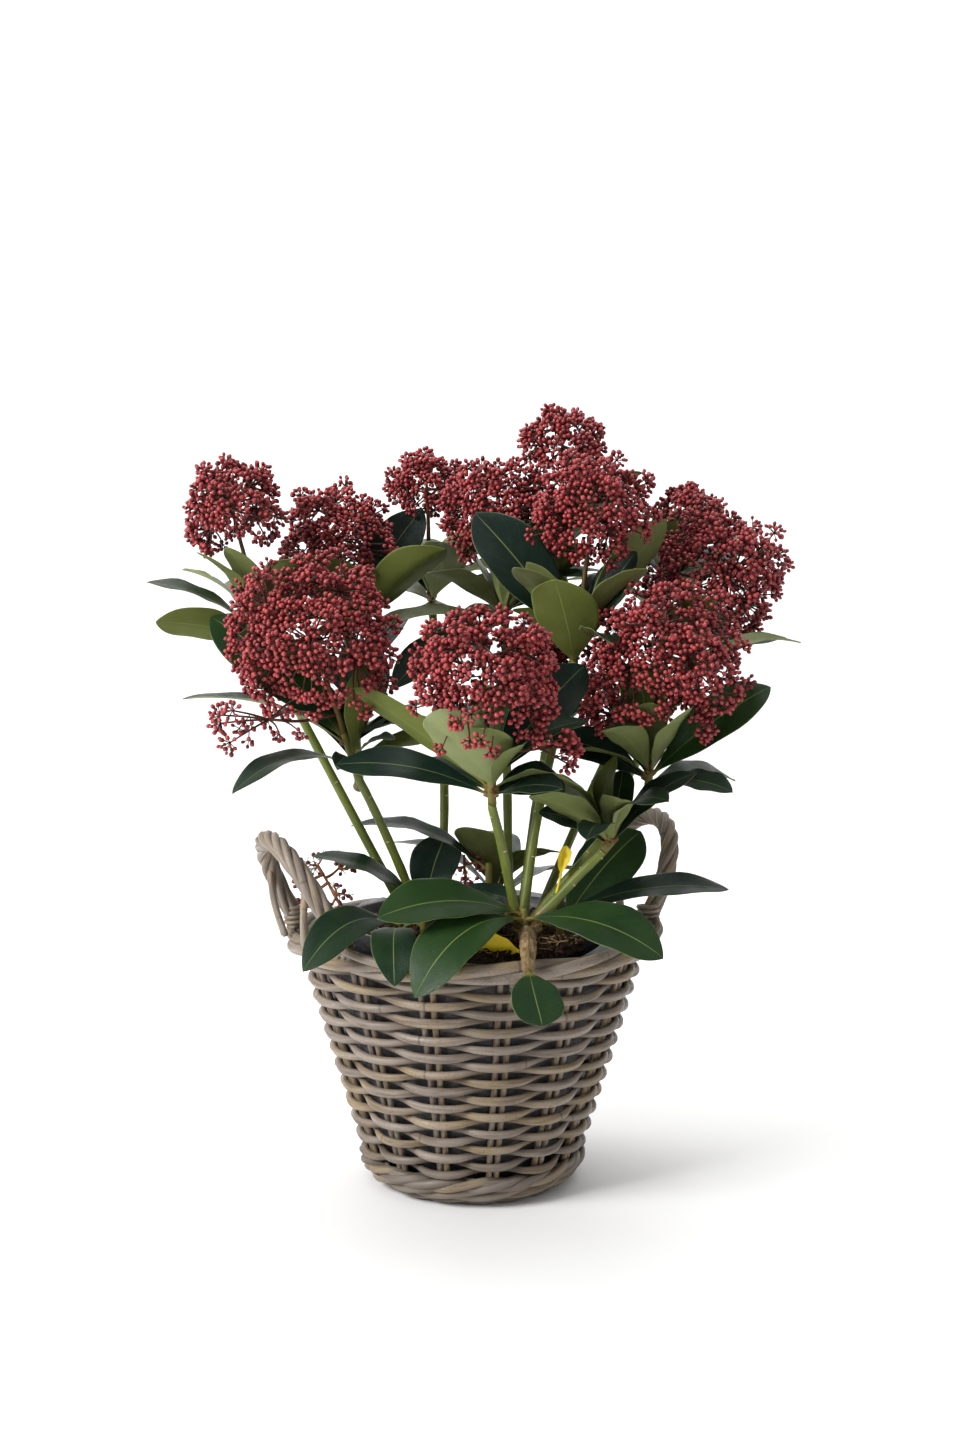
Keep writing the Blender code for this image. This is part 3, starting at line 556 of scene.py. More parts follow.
@dataclass(frozen=True)
class FoilFinish(Finish):
    """Thin grey plastic foil, dusty and softly creased, with painted shade where it stands below the wall's
    top.
    """

    colour: Triple = (0.26, 0.26, 0.30)
    dust: Triple = (0.42, 0.41, 0.43)
    # The painted shade on the foil where it stands behind the wall.
    painted_wall_shade: Triple = (0.055, 0.052, 0.055)

    def paint(self, bench: Bench) -> None:
        """Crease the foil, lay dust on it, and paint shade on it below the wall's top."""
        patches, specks = bench.group(mottle_group(), 38.0, 300.0)
        dusty = bench.mix(patches, self.colour, self.dust)
        # Painted shade: the foil below the wall's top is darkened, by under.
        bench.colour(bench.mix(bench.value("under"), dusty, self.painted_wall_shade))
        bench.rough(bench.span(specks, 0.0, 1.0, 0.3, 0.5))
        bench.relief(bench.noise(bench.place(), 90.0, 3.0), 0.5, 0.003)


@dataclass(frozen=True)
class PotFinish(Finish):
    """Dark moulded plastic with dried splashes of peat."""

    colour: Triple = (0.016, 0.021, 0.03)
    splash: Triple = (0.05, 0.035, 0.024)

    def paint(self, bench: Bench) -> None:
        """Scuff the plastic and splash it."""
        patches, specks = bench.group(mottle_group(), 70.0, 500.0)
        share = bench.times(patches, specks)
        bench.colour(bench.mix(share, self.colour, self.splash))
        bench.rough(bench.span(share, 0.0, 1.0, 0.32, 0.75))
        bench.relief(specks, 0.15, 0.0004)


@dataclass(frozen=True)
class PeatFinish(Finish):
    """Dark moist peat, paler where it has dried, or its straw-coloured fibres."""

    wet: Triple = (0.014, 0.008, 0.005)
    dry: Triple = (0.10, 0.058, 0.028)
    relief: float = 0.9

    def paint(self, bench: Bench) -> None:
        """Mix wet and dry peat by patch, speck and tone."""
        patches, specks = bench.group(mottle_group(), 130.0, 800.0)
        share = bench.times(patches, specks)
        aged = bench.sum("ADD", share, bench.times(bench.value("tone"), 0.8), clamp=True)
        bench.colour(bench.mix(aged, self.wet, self.dry))
        bench.relief(specks, self.relief, 0.0015)


@dataclass(frozen=True)
class BarkFinish(Finish):
    """Rough tan bark with furrows."""

    light: Triple = (0.42, 0.30, 0.15)
    dark: Triple = (0.12, 0.065, 0.03)

    def paint(self, bench: Bench) -> None:
        """Furrow the bark and fleck it with green."""
        streaks, cracks = bench.group(grain_group(), 160.0, 5.0, 0.6)
        patches, specks = bench.group(mottle_group(), 150.0, 1100.0)
        base = bench.mix(streaks, self.dark, self.light)
        green = bench.times(bench.span(patches, 0.6, 1.0), 0.35)
        mossy = bench.mix(green, base, (0.20, 0.20, 0.05))
        cracked = bench.mix(bench.times(cracks, 0.8), mossy, (0.03, 0.017, 0.01))
        bench.colour(cracked)
        height = bench.sum("ADD", streaks, bench.times(specks, 0.5))
        bench.relief(height, 0.8, 0.001)


@dataclass(frozen=True)
class StemFinish(Finish):
    """Smooth young bark: olive green, browner at its foot, with cream scars."""

    green: Triple = (0.175, 0.205, 0.022)
    shade: Triple = (0.085, 0.115, 0.014)
    foot: Triple = (0.20, 0.13, 0.05)
    scar: Triple = (0.52, 0.42, 0.20)

    def paint(self, bench: Bench) -> None:
        """Blend green into brown towards the foot and colour the scars."""
        streaks, cracks = bench.group(grain_group(), 70.0, 2.0, 0.72)
        base = bench.mix(bench.times(streaks, 0.8), self.shade, self.green)
        low = bench.span(bench.value("run"), 0.0, 0.022, 0.85, 0.0)
        footed = bench.mix(low, base, self.foot)
        warmed = bench.mix(bench.value("warm"), footed, (0.13, 0.035, 0.018))
        bench.colour(bench.mix(bench.value("under"), warmed, self.scar))
        bench.relief(streaks, 0.2, 0.0005)


@dataclass(frozen=True)
class LeafFinish(Finish):
    """Leathery leaves: dark above with a pale midrib and edge, sage or olive below."""

    deep: Triple = (0.006, 0.018, 0.013)
    fresh: Triple = (0.014, 0.044, 0.007)
    sage: Triple = (0.25, 0.285, 0.125)
    olive: Triple = (0.125, 0.15, 0.028)
    rib: Triple = (0.28, 0.36, 0.11)
    stalk: Triple = (0.20, 0.18, 0.035)

    def paint(self, bench: Bench) -> None:
        """Colour the faces by side and tone, and draw the ribs."""
        patches, specks = bench.group(mottle_group(), 45.0, 1500.0)
        run, side = bench.value("run"), bench.value("side")
        under, warm = bench.value("under"), bench.value("warm")
        away = bench.sum("ABSOLUTE", side)
        uneven = bench.times(bench.sum("SUBTRACT", patches, 0.5), 0.4)
        shade = bench.sum("ADD", bench.value("tone"), uneven, clamp=True)
        tinted = bench.span(warm, 0.7, 1.0, 0.0, 0.75)
        top = bench.mix(tinted, bench.mix(shade, self.deep, self.fresh), self.olive)
        below = bench.mix(bench.sum("ADD", warm, bench.times(uneven, 0.5), clamp=True), self.sage, self.olive)
        slant = bench.sum("SUBTRACT", bench.times(run, 9.0), bench.times(away, 2.6))
        nerve = bench.sum("ABSOLUTE", bench.sum("SINE", bench.times(slant, pi)))
        nerves = bench.span(nerve, 0.0, 0.16, 0.07, 0.0)
        rib = bench.span(away, 0.008, 0.034, 1.0, 0.0)
        edge = bench.span(away, 0.965, 0.995, 0.0, 0.8)
        lines = bench.most(rib, edge, nerves)
        ribbed = bench.mix(bench.times(lines, 0.5), top, self.rib)
        ribbed_below = bench.mix(bench.times(lines, 0.5), below, (0.26, 0.32, 0.11))
        both = bench.mix(under, ribbed, ribbed_below)
        bench.colour(bench.mix(bench.span(run, 0.03, 0.12, 0.9, 0.0), both, self.stalk))
        rough = bench.span(patches, 0.0, 1.0, 0.3, 0.46)
        bench.rough(bench.sum("ADD", rough, bench.times(under, 0.25)))
        quilt = bench.times(bench.sum("ADD", specks, patches), 0.3)
        bench.relief(bench.sum("SUBTRACT", quilt, lines), 0.4, 0.0009)


@dataclass(frozen=True)
class BudFinish(Finish):
    """Waxy buds: crimson at the foot and coral at the tip."""

    foot: Triple = (0.10, 0.009, 0.014)
    body: Triple = (0.31, 0.027, 0.032)
    tip: Triple = (0.54, 0.098, 0.086)

    def paint(self, bench: Bench) -> None:
        """Shade each bud from foot to tip, by its own tone."""
        run = bench.value("run")
        low = bench.mix(bench.span(run, 0.0, 0.45), self.foot, self.body)
        high = bench.mix(bench.span(run, 0.55, 1.0, 0.0, 0.75), low, self.tip)
        dulled = bench.mix(bench.span(bench.value("tone"), 0.0, 1.0, 0.5, 0.0), high, self.foot)
        bench.colour(dulled)


@dataclass(frozen=True)
class TwigFinish(Finish):
    """Thin stalks that turn from one colour at the foot to another by warmth."""

    low: Triple = (0.12, 0.10, 0.02)
    high: Triple = (0.060, 0.010, 0.013)
    relief: float = 0.3

    def paint(self, bench: Bench) -> None:
        """Blend the two colours and fleck them."""
        patches, specks = bench.group(mottle_group(), 200.0, 1500.0)
        base = bench.mix(bench.value("warm"), self.low, self.high)
        flecked = bench.mix(bench.times(patches, 0.35), base, (0.20, 0.06, 0.03))
        bench.colour(flecked)
        bench.relief(specks, self.relief, 0.0003)


@dataclass(frozen=True)
class YellowFinish(Finish):
    """A dying leaf: clear yellow, greener along its rib."""

    yellow: Triple = (0.83, 0.60, 0.01)
    green: Triple = (0.45, 0.48, 0.02)

    def paint(self, bench: Bench) -> None:
        """Tint the middle green and speck the rest."""
        patches, specks = bench.group(mottle_group(), 120.0, 1200.0)
        rib = bench.span(bench.sum("ABSOLUTE", bench.value("side")), 0.0, 0.2, 0.5, 0.0)
        share = bench.most(rib, bench.times(patches, 0.2))
        bench.colour(bench.mix(share, self.yellow, self.green))
        bench.relief(specks, 0.2, 0.0004)


@dataclass(frozen=True)
class FloorFinish(Finish):
    """Plain pale studio floor."""

    colour: Triple = (0.93, 0.93, 0.93)

    def paint(self, bench: Bench) -> None:
        """Set the colour."""
        bench.colour(self.colour)


RATTAN = RattanFinish("weathered rattan", "rattan")
FOIL = FoilFinish("grey foil", "grey_liner", 0.4)
POT_PLASTIC = PotFinish("dark pot plastic", "dark_pot", 0.4)
PEAT = PeatFinish("moist peat", "peat", 0.95, 0.2)
FIBRE = PeatFinish("peat fibre", "peat", 0.8, 0.3, (0.10, 0.06, 0.025), (0.34, 0.22, 0.10), 0.2)
BARK = BarkFinish("tan bark", "bark", 0.85, 0.25)
STEM = StemFinish("green stem", "green_stem", 0.42)
LEAF = LeafFinish("skimmia leaf", "leaf", 0.42, 0.26)
BUD = BudFinish("red bud", "bud", 0.36, 0.4)
TWIG = TwigFinish("bud stalk", "bud", 0.55, 0.3)
LEAF_TWIG = TwigFinish("leafy twig", "leaf", 0.5, 0.4, (0.13, 0.15, 0.02), (0.13, 0.06, 0.02))
DRY_TWIG = TwigFinish("dried stalk", "dried", 0.75, 0.3, (0.33, 0.15, 0.05), (0.26, 0.10, 0.04))
DRY_BUD = BudFinish(
    "dried bud", "dried", 0.6, 0.3, (0.08, 0.01, 0.02), (0.17, 0.02, 0.05), (0.26, 0.09, 0.05)
)
YELLOW = YellowFinish("yellow leaf", "yellow_leaf", 0.5)
FLOOR = FloorFinish("studio floor", "", 0.9, 0.2)


# Basket


def around(radius: float, height: float, turn: float) -> Vector:
    """The point at this radius, height and angle about the basket's middle."""
    return Vector((radius * cos(turn), radius * sin(turn), height))


def ring_rod(
    shape: Shape, middle: Pairs, thick: Pairs, tone: float, sides: int = 8, painted_shade_and_dark: Sequence[float] = (0.0,)
) -> None:
    """Add a rod that goes once round the basket and closes on itself.

    Args:
        shape: What to add it to.
        middle: Its radius and height, at even steps round.
        thick: Its half thickness outward and upward, at each step.
        tone: How aged it looks.
        sides: How many sides it has.
        painted_shade_and_dark: How dark it is painted, at each step or all round: painted shade where it lies
            in a recess, and darker towards the bottom.
    """
    middle, thick = np.array(middle), np.array(thick)
    turn, section = circle(len(middle))[:, None], circle(sides)
    radius = middle[:, :1] + thick[:, :1] * np.sin(section)
    height = middle[:, 1:] + thick[:, 1:] * np.cos(section)
    rings = np.stack([radius * np.cos(turn), radius * np.sin(turn), height], -1)
    # The darkness goes to under, which the rattan paints as shade.
    run, side, under = turn * middle[0, 0], section / np.pi - 1.0, np.reshape(painted_shade_and_dark, (-1, 1))
    shape.loft(rings, closed=True, run=run, side=side, tone=tone, under=under)


@dataclass
class BasketWall:
    """The woven wall: strands that pass outside one stake and inside the next."""

    bottom: float = 17.0 * MM
    top: float = 170.1 * MM
    bottom_radius: float = 76.0 * MM
    top_radius: float = 122.0 * MM
    rows: int = 24
    depth: float = 4.3 * MM
    stakes: int = 14
    stake_radius: float = 2.2 * MM
    strand: float = 2.6 * MM
    strand_inset: float = 1.9 * MM

    def radius(self, height: float) -> float:
        """The radius of the wall's face at a height."""
        share = (height - self.bottom) / (self.top - self.bottom)
        return self.bottom_radius + share * (self.top_radius - self.bottom_radius)

    def build(self) -> None:
        """Make the strands and the stakes."""
        chance = Random(41)
        strands, posts = Shape(), Shape()
        pitch = (self.top - self.bottom) / self.rows
        steps = self.stakes * 10
        for row in range(self.rows):
            height = self.top - (row + 0.5) * pitch
            way = 1.0 if row % 2 else -1.0
            middle, thick, painted_shade_and_dark = [], [], []
            size = chance.uniform(0.92, 1.06)
            for k in range(steps):
                turn = ROUND * k / steps
                wave = cos(0.5 * self.stakes * turn) * way
                swing = copysign(abs(wave) ** 0.8, wave)
                drift = wander(row, k * 0.11, 0.8 * MM)
                inset = self.radius(height) - self.strand_inset
                middle.append((inset + self.depth * swing, height + drift - 1.3 * MM * swing))
                fat = self.strand * size + wander(row + 50, k * 0.07, 0.3 * MM)
                thick.append((fat, fat + 0.55 * MM * max(0.0, swing)))
                # Painted shade where the strand dips inside behind a stake, and a little darker in the lowest
                # rows.
                low = 0.04 * max(0.0, row - 16.0)
                painted_shade_and_dark.append(low + (0.5 - 0.5 * min(1.0, swing + 0.55) if swing < 0.45 else 0.0))
            ring_rod(strands, middle, thick, chance.random() ** 1.5, 10, painted_shade_and_dark)
        for stake in range(self.stakes):
            for side in (-1.0, 1.0):
                turn = ROUND * stake / self.stakes + side * 0.034
                line = []
                for k in range(13):
                    height = self.bottom - 6.0 * MM + (self.top - self.bottom + 12.0 * MM) * k / 12
                    place = self.radius(height) - self.strand_inset - 0.6 * MM
                    line.append(around(place, height, turn + wander(stake + side, k * 0.3, 0.006)))
                posts.tube(line, [self.stake_radius] * 13, 7, tone=chance.random())
        strands.piece("basket_wall_strands", RATTAN, ["basket_wall"])
        posts.piece("basket_wall_stakes", RATTAN)


@dataclass
class BasketBorder:
    """Rods rolled round each other at the wall's top or foot."""

    name: str
    node: str
    radius: float
    height: float
    offset: float
    rod: float
    count: int
    turns: int
    lean: float = 0.0
    seed: int = 0
    # How much darker the whole border is painted.
    painted_shade_and_dark: float = 0.0

    def rods(self, shape: Shape) -> None:
        """Add the rods of this border to a shape."""
        chance = Random(self.seed)
        steps = 168
        for index in range(self.count):
            middle, thick, painted_shade_and_dark = [], [], []
            for k in range(steps):
                share = k / steps
                phase = ROUND * (index / self.count + self.turns * share)
                # Painted shade where a rod rolls inward behind the others, on top of the border's own
                # darkening.
                painted_shade_and_dark.append(self.painted_shade_and_dark + 0.6 * max(0.0, -cos(phase + 0.5) - 0.1))
                out = self.offset * cos(phase)
                up = self.offset * sin(phase)
                drift = wander(self.seed + index, sin(ROUND * share) * 3.0 + 7.0, 0.8 * MM)
                middle.append((self.radius + out + self.lean * up, self.height + up + drift))
                fat = self.rod + wander(self.seed + index + 9, cos(ROUND * share) * 4.0, 0.4 * MM)
                thick.append((fat, fat))
            ring_rod(shape, middle, thick, chance.random(), 10, painted_shade_and_dark)

    def build(self) -> None:
        """Make the border as a piece of its own."""
        shape = Shape()
        self.rods(shape)
        shape.piece(self.name, RATTAN, [self.node])


BORDER = BasketBorder(
    "basket_border", "basket_rim", 128.5 * MM, 178.0 * MM, 3.7 * MM, 3.9 * MM, 3, 4, seed=21
)


@dataclass
class BasketFoot:
    """The flat floor and the twined rods that the basket stands on."""

    steps: int = 96
    spokes: int = 24
    floor_rods: int = 9
    floor_levels: Pairs = ((0.6, 1.2), (64.0, 1.2), (71.0, 6.0), (73.0, 12.0), (62.0, 12.0), (0.6, 12.0))
    borders: tuple[BasketBorder, ...] = (
        BasketBorder("foot_low", "", 67.0 * MM, 5.2 * MM, 2.4 * MM, 2.7 * MM, 3, 6, 0.3, 3, 0.4),
        BasketBorder("foot_mid", "", 73.6 * MM, 11.0 * MM, 3.2 * MM, 3.2 * MM, 3, 5, 0.3, 5, 0.35),
        BasketBorder("foot_high", "", 77.3 * MM, 16.8 * MM, 2.8 * MM, 3.1 * MM, 3, 7, 0.2, 8, 0.3),
    )

    def build(self) -> None:
        """Make the floor and the foot's rods."""
        rods = Shape()
        for border in self.borders:
            border.rods(rods)
        rods.piece("basket_foot_rods", RATTAN)
        floor = Shape()
        turn = circle(self.steps)
        rings = []
        for radius, height in self.floor_levels:
            ripple = 0.35 * np.sin(turn * 24.0) if height < 2.0 else 0.0
            rings.append(flat_ring(radius, height + ripple, turn))
        floor.loft(np.array(rings), run=turn[None, :] * 0.07, tone=0.3)
        for ring in range(self.floor_rods):
            radius = (10.0 + 6.6 * ring) * MM
            phases = [0.5 * self.spokes * step + pi * ring for step in turn]
            waves = [(radius, (1.8 + 0.5 * cos(phase)) * MM) for phase in phases]
            ring_rod(floor, waves, [(2.9 * MM, 1.3 * MM)] * self.steps, ring / self.floor_rods, 6)
        floor.piece("basket_floor", RATTAN, ["basket_base"])


@dataclass
class RopeHandle:
    """A handle of rods twisted into a rope, lashed to the border at its feet."""

    side: float
    node: str
    rim_radius: float = 128.5 * MM
    foot: float = 178.0 * MM + 7.6 * MM + GAP
    spread: float = radians(23.5)
    rise: float = 70.0 * MM
    lean: float = 34.0 * MM
    rods: int = 5
    rod: float = 2.9 * MM
    offset: float = 4.2 * MM
    twist: float = radians(900.0)
    shape: Shape = field(default_factory=Shape)

    def arch(self) -> list[Vector]:
        """The line of the rope from one foot to the other."""
        steps, points = 16, []
        for k in range(steps + 1):
            turn = pi * k / steps
            rise = sin(turn) ** 0.72
            across = sin(self.spread) * self.rim_radius * cos(turn)
            out = cos(self.spread) * self.rim_radius + self.lean * rise
            height = self.foot + 3.0 * MM + (self.rise - 3.0 * MM) * rise
            points.append(Vector((self.side * out, across, height)))
        first, last = points[0], points[-1]
        points.insert(0, Vector((first.x, first.y, self.foot - 4.0 * MM)))
        points.append(Vector((last.x, last.y, self.foot - 4.0 * MM)))
        return points

    def build(self) -> None:
        """Make the twisted rods and what lashes them to the border."""
        points, chance = self.arch(), Random(int(7 + self.side))
        line = np.array(smooth_line(points, 5))
        frames, steps = carried_frames(line), np.arange(len(line))
        for index in range(self.rods):
            turn = (ROUND * index / self.rods + self.twist * steps / steps[-1])[:, None]
            rod = line + self.offset * (frames[:, 0] * np.cos(turn) + frames[:, 1] * np.sin(turn))
            radii = [self.rod + wander(index + 20.0, k * 0.12, 0.35 * MM) for k in steps]
            self.shape.tube(rod, radii, 8, tone=chance.random() * 0.8)
        for way, leg, foot in ((-1.0, points[-5], points[-2]), (1.0, points[4], points[1])):
            self.lashing(leg, foot, way, chance)
        self.shape.piece(self.node + "_rope", RATTAN, [self.node])

    def lashing(self, leg: Vector, foot: Vector, way: float, chance: Random) -> None:
        """Add two struts, the coil round a foot, and the rod that runs on.

        Args:
            leg: Where the struts leave the rope.
            foot: Its foot.
            way: Which leg it is, -1 or 1.
            chance: The handle's random numbers.
        """
        shape = self.shape
        for shift in (-2.0, 2.4):
            across = leg.y - way * (20.0 + shift) * MM
            low = Vector((leg.x - self.side * 5.0 * MM, across, self.foot - 2.0 * MM))
            bow = leg.lerp(low, 0.5) + Vector((self.side * 2.0 * MM, way * 2.0 * MM, 0.0))
            line = smooth_line([leg + Vector((0.0, shift * MM, 0.0)), bow, low], 6)
            shape.tube(line, [2.2 * MM] * len(line), 7, tone=chance.random())
        coil = []
        for k in range(61):
            rise = (-3.5 + 15.0 * k / 60) * MM
            coil.append(foot + around(7.2 * MM, rise, ROUND * 4.2 * k / 60))
        shape.tube(coil, [1.7 * MM] * 61, 6, tone=chance.random())
        middle = atan2(foot.y, foot.x)
        line = []
        for k in range(13):
            share = k / 12
            turn = middle + self.side * way * (0.02 + 0.34 * share)
            out = self.rim_radius + 4.5 * MM + 3.0 * MM * sin(pi * share)
            line.append(around(out, self.foot + (3.0 - 8.0 * share) * MM, turn))
        shape.tube(line, [3.0 * MM] * 13, 8, tone=chance.random())


@dataclass
class BasketLiner:
    """The foil inside the wall, which stands above the border except at the front."""

    top: float = 187.0 * MM
    front_dip: float = 12.0 * MM
    bottom: float = 15.0 * MM
    inset: float = 9.6 * MM
    wall: BasketWall = field(default_factory=BasketWall)

    def point(self, share: float, turn: float, inward: float) -> Vector:
        """A point of the foil.

        Args:
            share: How far up it, from 0 to 1.
            turn: The angle about the basket's middle.
            inward: How far inside the outer face it is.

        Returns:
            The point.
        """
        crest = wander(3.0, cos(turn) * 4.0 + 3.0 * sin(2.0 * turn), 5.0 * MM)
        facing = cos(turn - PLANT_TURN + radians(96.0))
        crest -= self.front_dip * min(1.0, max(0.0, (facing - 0.45) * 4.0))
        height = self.bottom + (self.top - self.bottom) * share + crest * share**3
        wave = 2.2 * MM * share**2 * sin(17.0 * turn + 2.0 * sin(3.0 * turn))
        radius = self.wall.radius(min(height, self.wall.top)) - self.inset + wave - 1.5 * MM * share
        return around(radius - inward, height, turn)

    def build(self) -> None:
        """Make the creased foil, marked for painted shade below the wall's top."""
        shape, levels = Shape(), np.linspace(0.0, 1.0, 14)
        rows = [(share, 0.5 * MM) for share in levels] + [(share, 0.0) for share in levels[::-1]]
        turns = circle(160)
        rings = np.array([[self.point(share, turn, inward) for turn in turns] for share, inward in rows])
        # Painted shade: the foil below the wall's top is marked to be painted dark.
        painted_wall_shade = (rings[:, :, 2] < self.wall.top).astype(float)
        shape.loft(rings, closed=True, tone=0.3, under=painted_wall_shade)
        shape.piece("basket_liner_foil", FOIL, ["basket_liner"])


@dataclass
class NurseryPot:
    """The smooth plastic pot with its rolled lip."""

    levels: Pairs = (
        (0.4, 13.9), (61.0, 13.9), (92.0, 178.6), (93.4, 189.2), (94.4, 190.0), (96.4, 190.0),
        (97.0, 189.4), (97.0, 179.0), (96.5, 178.2), (93.6, 178.0), (62.6, 12.6), (61.6, 12.4), (0.4, 12.4),
    )

    def build(self) -> None:
        """Turn the profile and close it at the middle."""
        shape = Shape()
        rings = [flat_ring(radius, height, circle(128)) for radius, height in self.levels]
        shape.loft(np.array(rings)[::-1], tone=0.2)
        pot = shape.piece("nursery_pot_body", POT_PLASTIC, ["nursery_pot"])
        pot.data.set_sharp_from_angle(angle=radians(45.0))


@dataclass
class PeatBed:
    """The rough peat in the pot, with crumbs and pale fibres on it."""

    edge: float = 182.0
    middle: float = 187.0
    reach: float = 91.0
    crumbs: int = 900
    fibres: int = 200
    heap_radius: float = 99.5
    heap_height: float = 185.5
    heap_from: float = -104.0
    heap_turn: float = 64.0
    below: Pairs = ((0.5, 16.0), (60.0, 16.0), (88.0, 172.0))

    def height(self, x: float, y: float) -> float:
        """The height of the peat under a point of the layout, all in millimetres."""
        share = min(hypot(x, y) / 92.0, 1.0)
        return self.middle + (self.edge - self.middle) * share

    def relief(self, x: float, y: float) -> float:
        """The rough height of the peat at a point of the part's frame, in millimetres."""
        rough = noise.fractal(Vector((x * 0.09, y * 0.09, 3.0)), 0.9, 2.1, 5)
        return self.height(x, y) + 2.2 * rough - 0.6

    def build(self) -> None:
        """Make the bed, its crumbs and its fibres."""
        bed, turns = Shape(), circle(120)
        rings = [flat_ring(radius, height, turns) for radius, height in self.below]
        for radius in np.linspace(self.reach, 0.5, 46):
            rough = [self.relief(radius * cos(turn), radius * sin(turn)) for turn in turns]
            rings.append(flat_ring(radius, np.array(rough), turns))
        bed.loft(np.array(rings), tone=0.0)
        bed.piece("peat_bed", PEAT, ["soil"])
        heap, shares = Shape(), np.linspace(0.0, 1.0, 40)
        heap.loft(np.array([[self.on_heap(share, angle) for angle in circle(24)] for share in shares]))
        heap.piece("peat_at_lip", PEAT)
        self.litter()

    def on_heap(self, share: float, angle: float) -> Vector:
        """A point on the peat over the pot's lip at the front.

        Args:
            share: How far along it, from 0 to 1.
            angle: The angle outward from straight up, in radians.

        Returns:
            The point.
        """
        turn = radians(self.heap_from + self.heap_turn * share) + PLANT_TURN
        swell = max(0.05, sin(pi * share)) ** 0.4
        lump = 1.0 + 0.45 * noise.noise(Vector((share * 16.0, cos(angle) * 2.0, sin(angle) * 2.0)))
        radius = self.heap_radius + 15.5 * sin(angle) * swell * lump
        return around(radius * MM, (self.heap_height + 7.0 * cos(angle) * swell * lump) * MM, turn)

    def litter(self) -> None:
        """Scatter crumbs and pale fibres over the bed and the heap at its lip."""
        chance = Random(77)
        crumb = Form(((0.35, -0.7), (0.95, -0.2), (0.8, 0.45), (0.25, 0.8)), 6)
        places, tones = [], []
        for index in range(self.crumbs + 260):
            radius = self.reach * 0.97 * sqrt(chance.random())
            turn = chance.uniform(0.0, ROUND)
            size = chance.uniform(0.7, 2.3) * MM
            way = Vector((chance.uniform(-1, 1), chance.uniform(-1, 1), chance.uniform(0.1, 1))).normalized()
            x, y = radius * cos(turn), radius * sin(turn)
            origin = Vector((x, y, self.relief(x, y))) * MM + Vector((0.0, 0.0, size * 0.3))
            if index >= self.crumbs:
                origin = self.on_heap(chance.uniform(0.02, 0.98), chance.uniform(-1.2, 1.5))
            places.append(set_up(origin, way, size, size * chance.uniform(0.7, 1.8)))
            tones.append(chance.random() ** 2)
        crumbs = Shape()
        crumbs.copies(crumb, places, tone=tones)
        crumbs.piece("peat_crumbs", PEAT)
        fibres = Shape()
        for _ in range(110):
            share, angle = chance.uniform(0.02, 0.9), chance.uniform(-0.9, 1.3)
            step, swing = chance.uniform(-0.09, 0.09), chance.uniform(-0.5, 0.5)
            points = [self.on_heap(share + step * k / 3, angle + swing * k / 3) for k in range(4)]
            points = [point + Vector((0.0, 0.0, chance.uniform(0.3, 1.6) * MM)) for point in points]
            fibres.tube(points, [chance.uniform(0.2, 0.5) * MM] * 4, 4, tone=chance.random())
        for _ in range(self.fibres):
            radius = self.reach * 0.93 * sqrt(chance.random())
            turn = chance.uniform(0.0, ROUND)
            x, y = radius * cos(turn), radius * sin(turn)
            way = aim(chance.uniform(0, 360), 0.0) * chance.uniform(5.0, 14.0)
            bend = aim(chance.uniform(0, 360), 0.0) * 2.5
            lift = chance.uniform(0.8, 3.6)
            points = []
            for share in (0.0, 0.35, 0.7, 1.0):
                px = x + way.x * share + bend.x * share * share
                py = y + way.y * share + bend.y * share * share
                if hypot(px, py) > self.reach:
                    break
                points.append(Vector((px, py, self.relief(px, py) + 0.4 + lift * share * (1.2 - share))) * MM)
            if len(points) == 4:
                fibres.tube(points, [chance.uniform(0.18, 0.5) * MM] * 4, 4, tone=chance.random())
        fibres.piece("peat_fibres", FIBRE)


# Layout of the plant


class Look(Enum):
    """A leaf's tone above, and its warmth, from sage to olive."""

    DEEP = (0.05, 0.6)
    PLAIN = (0.35, 0.62)
    FRESH = (0.85, 0.64)
    PALE = (0.3, 0.05)
    OLIVE = (0.5, 1.0)


DEEP, PLAIN, FRESH, PALE, OLIVE = Look


@dataclass(frozen=True)
class Leaf:
    """One leaf: its place on its twig, how it is held, and how it looks."""

    rise: float
    heading: float
    lift: float
    length: float
    width: float
    roll: float = 0.0
    arch: float = 6.0
    look: Look = PLAIN
    fold: float = 0.16


@dataclass(frozen=True)
class Shoot:
    """One shoot: its stem, its whorl of leaves and its flower head."""

    name: str
    foot: Triple
    bow: Triple
    whorl: Triple
    crown: Triple | None
    twig: float
    spread: float
    sides: int
    filler: int
    lobes: tuple[Triple, ...] = ()

    @property
    def leaves(self) -> str:
        """The node of its leaves."""
        return "leaves_" + self.name

    @property
    def flowers(self) -> str:
        """The node of its flower head."""
        return "flowers_" + self.name


@dataclass(frozen=True)
class Branch:
    """A side branch of a head: its joint, its fork, and its four clusters' places."""

    joint: Vector
    fork: Vector
    ahead: Vector
    side: Vector
    places: tuple[Vector, ...]


HIGH_LEFT = ((175, 5, 62),)
LOW_LEFT = ((-150, -2, 88), (-60, 12, 80))
LOW_RIGHT = ((165, 24, 76), (-20, 8, 74))
LOW_FRONT = ((-10, 2, 58),)

